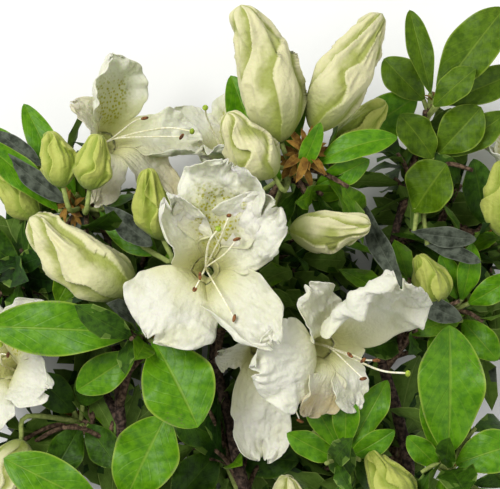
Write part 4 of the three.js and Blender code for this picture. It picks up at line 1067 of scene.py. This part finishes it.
def bark_material(name, dark, light, scale, depth):
    """Azalea bark: thin cork that flakes off in scales."""
    # It is dull, and its scales show in two browns, one for the weathered face and one where a scale came
    # off. The scale of the pattern is one over the size of a flake in metres.
    material, tree, shader = new_material(name, dark, Roughness=0.85, Specular_IOR_Level=0.25)
    place = node(tree, "ShaderNodeTexCoord", {}, "Object")
    flakes = node(tree, NOISE, {"Vector": place, "Scale": scale, "Detail": 5.0})
    share = node(tree, RANGE, {0: flakes, 1: 0.38, 2: 0.66}, interpolation_type="SMOOTHSTEP")
    color = node(tree, MIX, {0: share, 6: dark, 7: light}, 2, data_type="RGBA")
    tree.links.new(color, shader["Base Color"])
    cracks = node(tree, CELLS, {"Vector": place, "Scale": scale * 1.8})
    height = node(tree, MATH, {0: cracks, 1: 0.5, 2: flakes}, operation="MULTIPLY_ADD")
    bump = node(tree, BUMP, {"Strength": 0.7, "Distance": depth, "Height": height})
    tree.links.new(bump, shader["Normal"])
    return material


def grained_material(name, first, second, roughness):
    """Small soft part of a flower, such as an anther's dry coat or a stigma's sticky cap."""
    # Two near colours in a grain of about 1 mm stand for pollen, drops and fine hairs.
    material, tree, shader = new_material(name, first, Roughness=roughness, Specular_IOR_Level=0.3,
                                          Subsurface_Weight=0.1)
    place = node(tree, "ShaderNodeTexCoord", {}, "Object")
    grain = node(tree, NOISE, {"Vector": place, "Scale": 900.0, "Detail": 2.0})
    share = node(tree, RANGE, {0: grain, 1: 0.4, 2: 0.62}, interpolation_type="SMOOTHSTEP")
    color = node(tree, MIX, {0: share, 6: first, 7: second}, 2, data_type="RGBA")
    tree.links.new(color, shader["Base Color"])
    return material


# Settings

class AzaleaStems(bpy.types.PropertyGroup):
    relief: bpy.props.FloatProperty(name="Bark relief",
                                    description="Height of the bark's ridges against its radius",
                                    default=0.05, min=0, max=0.3, subtype="FACTOR")
    dark: bpy.props.StringProperty(name="Dark bark", description="Darker bark colour, hex sRGB",
                                   default="#241b15")
    light: bpy.props.StringProperty(name="Light bark", description="Lighter bark colour, hex sRGB",
                                    default="#57473b")
    young: bpy.props.StringProperty(name="Young stem", description="Colour of young stems, hex sRGB",
                                    default="#7f8c4a")


class AzaleaLeaves(bpy.types.PropertyGroup):
    thickness: bpy.props.FloatProperty(name="Thickness", description="Thickness of a leaf in millimetres",
                                       default=0.35, min=0.1, max=1)
    bright: bpy.props.StringProperty(name="Full-grown leaf", default="#588a08",
                                     description="Lighter green of the leaves set by hand, hex sRGB")
    deep: bpy.props.StringProperty(name="Shaded leaf", default="#24450c",
                                   description="Lighter green of the old leaves in the shade, hex sRGB")


class AzaleaFlowers(bpy.types.PropertyGroup):
    thickness: bpy.props.FloatProperty(name="Petal thickness",
                                       description="Thickness of a petal in millimetres",
                                       default=0.3, min=0.1, max=1)
    white: bpy.props.StringProperty(name="Petal", description="Petal colour, hex sRGB", default="#d8d8c6")
    lime: bpy.props.StringProperty(name="Guide", description="Colour of the honey guide, hex sRGB",
                                   default="#9c9a1c")


class AzaleaStage(bpy.types.PropertyGroup):
    floor: bpy.props.StringProperty(name="Floor", description="Floor colour, hex sRGB", default="#f4f4f2")
    frame_width: bpy.props.FloatProperty(name="Frame width",
                                         description="Width of the view on the middle plane",
                                         default=0.19, min=0.05, max=1, subtype="DISTANCE", unit="LENGTH")


# Pieces

GROWN = {}


def grown():
    """The sprays, grown once for all the operators."""
    if not GROWN:
        GROWN.update(grow_sprays())
    return GROWN


class AZALEA_OT_limbs(bpy.types.Operator):
    """Make the main stem and the boughs, with scaly bark"""
    bl_idname = "azalea.limbs"
    bl_label = "Stem and boughs"

    def execute(self, context):
        settings = context.scene.azalea_stems
        bark = bark_material("Old flaking bark", settings.dark, settings.light, 260.0, 0.0012)
        stem = bark_material("Scaly young bark", "#281e18", "#5e4c40", 620.0, 0.0008)

        def relief(t, angle):
            waves = (np.sin(3 * angle + 9 * t) + 0.7 * np.sin(7 * angle - 31 * t + 1)
                     + 0.6 * np.sin(5 * angle + 83 * t) * np.sin(61 * t))
            one_side = 0.5 + 0.5 * np.cos(angle - 40 * np.floor(t * 9))
            knots = np.exp(-((t * 9 % 1 - 0.5) / 0.06) ** 2) * one_side
            return 1 + settings.relief * waves / 2 + 0.14 * knots

        for name, (curve, radii) in CURVES.items():
            sheets = Sheets()
            main = name == "main_stem"
            sheets.add_tube(curve, radii, 24, 120 if main else 90, relief=relief)
            declare(sheets.build(name + "_bark", [bark if main else stem]),
                    [name])
        return {"FINISHED"}


class AZALEA_OT_twigs(bpy.types.Operator):
    """Make the twigs, flower stalks and the bud scales round the shoots' tips"""
    bl_idname = "azalea.twigs"
    bl_label = "Twigs"

    def execute(self, context):
        settings = context.scene.azalea_stems
        woody = bark_material("Twig bark", "#3c2c20", "#77614c", 700.0, 0.0006)
        young = bark_material("Young green stem", settings.young, "#97a45a", 600.0, 0.0004)
        scale = leaf_material("Dry bud scale", "#5c3a14", "#94702c", "#b89a50", 0.65)
        sheets, scales = Sheets(), Sheets()
        for name, spray in grown().items():
            green = 1 if name in GREEN_SHOOTS else 0
            for curve, radii, material in ([(spray["stem"], (1.6, 1.15), green)]
                                           + [(curve, (1.05, 0.8), green) for curve in spray["twigs"]]
                                           + [(curve, (1.1, 0.9), 1) for curve in spray["stalks"]]):
                sheets.add_tube(curve, radii, 8, 8, material)
            for leaf in spray["scales"]:
                scales.add(*leaf_shell(leaf, SCALE_THICKNESS, *SCALE_GRID), closed=True)
        declare(sheets.build("twigs", [woody, young]), list(SPRAYS))
        declare(scales.build("bud_scales", [scale], 70.0), list(SPRAYS))
        return {"FINISHED"}


class AZALEA_OT_leaves(bpy.types.Operator):
    """Make the leaves, those listed and those grown, in six kinds from young to shaded and hairy grey"""
    bl_idname = "azalea.leaves"
    bl_label = "Leaves"

    def execute(self, context):
        settings = context.scene.azalea_leaves
        under = leaf_material("Underside of an azalea leaf", "#4b6620", "#5b782c", "#8a9e50", 0.6)
        kinds = {
            "front": leaf_material("Full-grown azalea leaf", "#3c6e04", settings.bright, "#90a63c", 0.42,
                                   0.2),
            "olive": leaf_material("Sunlit azalea leaf", "#385404", "#52700a", "#849a34", 0.5),
            "young": leaf_material("Young azalea leaf", "#3a6206", "#5a8410", "#86a02c", 0.48),
            "old": leaf_material("Old azalea leaf, also painted shade", "#1c3604", "#375a0c", "#52701c", 0.5),
            "deep": leaf_material("Shaded old azalea leaf", "#0e2004", settings.deep, "#30501a", 0.52),
            "grey": leaf_material("Hairy grey azalea leaf", "#2a3026", "#585f52", "#747a6c", 0.75, 0.1),
        }
        sets = {kind: Sheets() for kind in kinds}
        random = numbers(900)
        for name, spray in grown().items():
            dark = name in SHADED_SPRAYS
            for leaf in spray["hand"] + spray["leaves"]:
                leaf.update(wave=0.10 + 0.16 * random(), phase=6.3 * random(), bend=0.12 * (random() - 0.5))
                if "kind" in leaf:
                    leaf["quilt"] = 0.05
                    # A listed leaf of a shaded spray takes the old leaves' darker green: painted shade.
                    kind = "old" if dark and leaf["kind"] == "front" else leaf["kind"]
                    self.add_leaf(sets[kind], leaf, settings.thickness, HAND_GRID)
                else:
                    # Low grown leaves take the old leaves' darker green, and most grown leaves of the shaded
                    # sprays take the darkest green: both painted shade. Other grown leaves are old at random,
                    # their own tone.
                    low = leaf["root"][2] < SHADE_HEIGHT
                    kind = ("deep" if dark and random() < 0.8 else
                            "grey" if random() < 0.05 else
                            "old" if low or random() < 0.5 else
                            "olive" if name in OLIVE_SPRAYS else "young")
                    self.add_leaf(sets[kind], leaf, settings.thickness, GROWN_GRID)
        for kind, material in kinds.items():
            declare(sets[kind].build("leaves_" + kind, [material, under], 70.0), list(SPRAYS))
        return {"FINISHED"}

    @staticmethod
    def add_leaf(sheets, leaf, thickness, size):
        """One leaf as a closed shell of size rows and columns, its under side in the second material."""
        columns = size[1]
        grid, u, v = leaf_shell(leaf, thickness, *size)
        sheets.add(grid, u, v, np.where(np.arange(2 * columns) < columns, 0, 1)[None, :], closed=True)


class AZALEA_OT_blooms(bpy.types.Operator):
    """Make the open blooms, each with its petals, tube, stamens and pistil"""
    bl_idname = "azalea.blooms"
    bl_label = "Blooms"

    def execute(self, context):
        settings = context.scene.azalea_flowers
        white = petal_material("White azalea petal", settings.white, "#ccccae", "#bebc74", settings.lime,
                               "#b09448")
        filament = grained_material("Azalea filament", "#f3efd8", "#e0dcae", 0.5)
        anther = grained_material("Dry azalea anther", "#8a5a30", "#553620", 0.8)
        stigma = grained_material("Sticky azalea stigma", "#a8c03a", "#8aa02c", 0.35)
        columns, rows = 44, 56
        u, v = np.meshgrid(np.linspace(-1, 1, columns + 1), 1 - (1 - np.linspace(0, 1, rows + 1)) ** 1.35)
        for order, (name, bloom) in enumerate(BLOOMS.items()):
            place = bloom_frame(bloom)
            sheets = Sheets()
            petals, tube = corolla_surfaces(bloom, place, order + 1, u, v)
            for index, grid in enumerate(petals):
                sheets.add(grid, 0.5 + u / 2, v, 0, self.petal_tint(name, index, u, v))
            sheets.add(tube, 0.5, -0.1)
            declare(thicken(weld(sheets.build(name + "_petals", [white])), settings.thickness),
                    [name])
            inner = Sheets()
            for number, target in enumerate(bloom["anthers"]):
                self.add_stamen(inner, place, sighted(target), 0.34, (1.5, 0.85), 1, order * 9 + number)
            self.add_stamen(inner, place, sighted(bloom["stigma"]), 0.45, (0.85, 1.2), 2, order * 9 + 8)
            declare(inner.build(name + "_stamens", [filament, anther, stigma]), [name])
        return {"FINISHED"}

    @staticmethod
    def petal_tint(name, index, u, v):
        """Above 0 on the honey guide, in the middle of the upper petal, and below 0 on a petal that has
        turned."""
        if name == "bloom_right":
            return -1.1 * smooth(0.3, 0.8, v) if index == 3 else 0.0
        if name == "bloom_upper_left" and index in (1, 2, 3):
            return -0.5 * smooth(0.2, 0.8, v)
        if index == 0:
            return smooth(0.08, 0.2, v) * (1 - smooth(0.6, 0.85, v)) * (1 - smooth(0.35, 0.8, np.abs(u)))
        return 0.0

    @staticmethod
    def add_stamen(sheets, place, target, radius, cap, material, seed):
        """A filament from the tube's foot past the mouth in a bow that sways to a side, with an oval cap at
        its end: half length and half width of the cap, along and across a slant to the filament."""
        random = numbers(700 + seed)
        root = place["foot"] + place["axis"] * 3.5
        mouth = place["throat"] * 0.96 + target * 0.04
        reach = float(np.linalg.norm(target - mouth))
        aside = unit(np.cross(place["axis"], target - mouth)) * reach * 0.16 * (random() - 0.5)
        bow = mouth * 0.45 + target * 0.55 + place["axis"] * 4 + aside
        curve = Curve([root, mouth, bow, target])
        sheets.add_tube(curve, (radius, radius * 0.75), 8, 24)
        end = curve.direction(1)
        side, up = crossways(end)
        slant = 2 * math.pi * random()
        end = unit(end + 1.1 * (side * math.cos(slant) + up * math.sin(slant)) * (material == 1))
        side, up = crossways(end)
        angle, turn = np.meshgrid(np.linspace(0, math.pi, 9), np.linspace(0, 2 * math.pi, 13), indexing="ij")
        groove = 1 - 0.25 * np.cos(turn) ** 2 * (material == 1)
        ball = (target + end * (np.cos(angle) * cap[0])[..., None]
                + side * (np.sin(angle) * np.cos(turn) * cap[1] * groove)[..., None]
                + up * (np.sin(angle) * np.sin(turn) * cap[1])[..., None])
        sheets.add(ball, turn / 6.3, angle / 3.2, material, closed=True)


class AZALEA_OT_buds(bpy.types.Operator):
    """Make the closed buds and the green calyx lobes at their feet"""
    bl_idname = "azalea.buds"
    bl_label = "Buds"

    def execute(self, context):
        pale = bud_material("Cream azalea bud", "#d2cea0", "#8c9634", "#7c8a2a")
        lime = bud_material("Green azalea bud", "#b0b658", "#82942a", "#6c8226")
        calyx = leaf_material("Azalea calyx", "#6f8c34", "#8aa648", "#a9bd70", 0.6)
        for order, (name, bud) in enumerate(BUDS.items()):
            t, angle = np.meshgrid(np.linspace(0, 1, 97), np.linspace(0, 2 * math.pi, 145), indexing="ij")
            grid, fold = bud_surface(bud, t, angle, order + 1)
            sheets = Sheets()
            sheets.add(grid, angle / (2 * math.pi), t, 0, fold, flip=True, closed=True)
            declare(sheets.build(name + "_petals", [lime if bud[2] < GREEN_BUD_WIDTH else pale]),
                    [name])
            lobes = Sheets()
            foot, toward = flower_seat(name)
            side, up = crossways(toward)
            for index in range(PETAL_COUNT):
                turn = 2 * math.pi * index / PETAL_COUNT + order
                radial = side * math.cos(turn) + up * math.sin(turn)
                root = foot - toward * 0.4
                leaf = leaf_frame(root, root + toward * bud[2] * 0.42 + radial * bud[2] * 0.30, toward, 0.0)
                leaf.update(width=bud[2] * 0.22, sag=-0.2, fold=0.3)
                lobes.add(*leaf_shell(leaf, SCALE_THICKNESS, *LOBE_GRID), closed=True)
            declare(lobes.build(name + "_calyx", [calyx], 70.0), [name])
        return {"FINISHED"}


class AZALEA_OT_stage(bpy.types.Operator):
    """Make the pale floor, the soft light and the camera"""
    bl_idname = "azalea.stage"
    bl_label = "Stage"

    def execute(self, context):
        settings = context.scene.azalea_stage
        scene = context.scene
        scene.view_settings.view_transform = "Standard"
        floor_mesh = bpy.data.meshes.new("floor")
        corners = ((-1, -1), (1, -1), (1, 1), (-1, 1))
        floor_mesh.from_pydata([(x * FLOOR_REACH, y * FLOOR_REACH, 0) for x, y in corners], [],
                               [(0, 1, 2, 3)])
        floor = bpy.data.objects.new("floor", floor_mesh)
        floor_mesh.materials.append(new_material("Pale paper floor", settings.floor, Roughness=0.9)[0])
        scene.collection.objects.link(floor)
        world = bpy.data.worlds.new("Studio")
        world.use_nodes = True
        background = world.node_tree.nodes["Background"].inputs
        background["Color"].default_value = linear("#ffffff")
        background["Strength"].default_value = WORLD_LIGHT
        scene.world = world
        for name, place, size, energy in LAMPS:
            lamp = bpy.data.lights.new(name, "AREA")
            lamp.size = size
            lamp.energy = energy
            holder = bpy.data.objects.new(name, lamp)
            holder.location = place
            direction = -np.array(place)
            holder.rotation_euler = [math.acos(-unit(direction)[2]), 0,
                                     math.atan2(direction[1], direction[0]) + 1.5 * math.pi]
            scene.collection.objects.link(holder)
        camera = bpy.data.cameras.new("camera")
        distance = (EYE_HEIGHT - MIDDLE_HEIGHT) * METRE
        camera.sensor_width = SENSOR_WIDTH
        camera.lens = SENSOR_WIDTH * distance / settings.frame_width
        camera.clip_start = 0.01
        eye = bpy.data.objects.new("camera", camera)
        eye.location = np.array([SHIFT[0], SHIFT[1], EYE_HEIGHT + SHIFT[2]]) * METRE
        scene.collection.objects.link(eye)
        scene.camera = eye
        return {"FINISHED"}


class AZALEA_PT_panel(bpy.types.Panel):
    """Lists the branch's settings and steps"""
    bl_idname = "AZALEA_PT_panel"
    bl_label = "Azalea branch"
    bl_space_type = "VIEW_3D"
    bl_region_type = "UI"
    bl_category = "Azalea"

    def draw(self, context):
        for group, steps in GROUPS:
            box = self.layout.box()
            settings = getattr(context.scene, group)
            for key in type(settings).__annotations__:
                box.prop(settings, key)
            for step in steps:
                box.operator(step.bl_idname)


GROUPS = (
    ("azalea_stems", (AZALEA_OT_limbs, AZALEA_OT_twigs)),
    ("azalea_leaves", (AZALEA_OT_leaves,)),
    ("azalea_flowers", (AZALEA_OT_blooms, AZALEA_OT_buds)),
    ("azalea_stage", (AZALEA_OT_stage,)),
)
SETTINGS = {"azalea_stems": AzaleaStems, "azalea_leaves": AzaleaLeaves, "azalea_flowers": AzaleaFlowers,
            "azalea_stage": AzaleaStage}


def register():
    for name, group in SETTINGS.items():
        bpy.utils.register_class(group)
        setattr(bpy.types.Scene, name, bpy.props.PointerProperty(type=group))
    for _, steps in GROUPS:
        for step in steps:
            bpy.utils.register_class(step)
    bpy.utils.register_class(AZALEA_PT_panel)


def unregister():
    bpy.utils.unregister_class(AZALEA_PT_panel)
    for _, steps in GROUPS:
        for step in steps:
            bpy.utils.unregister_class(step)
    for name, group in SETTINGS.items():
        delattr(bpy.types.Scene, name)
        bpy.utils.unregister_class(group)


def main():
    """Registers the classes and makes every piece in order."""
    register()
    bpy.ops.azalea.limbs()
    bpy.ops.azalea.twigs()
    bpy.ops.azalea.leaves()
    bpy.ops.azalea.blooms()
    bpy.ops.azalea.buds()
    bpy.ops.azalea.stage()
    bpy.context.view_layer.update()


if __name__ == "__main__":
    main()
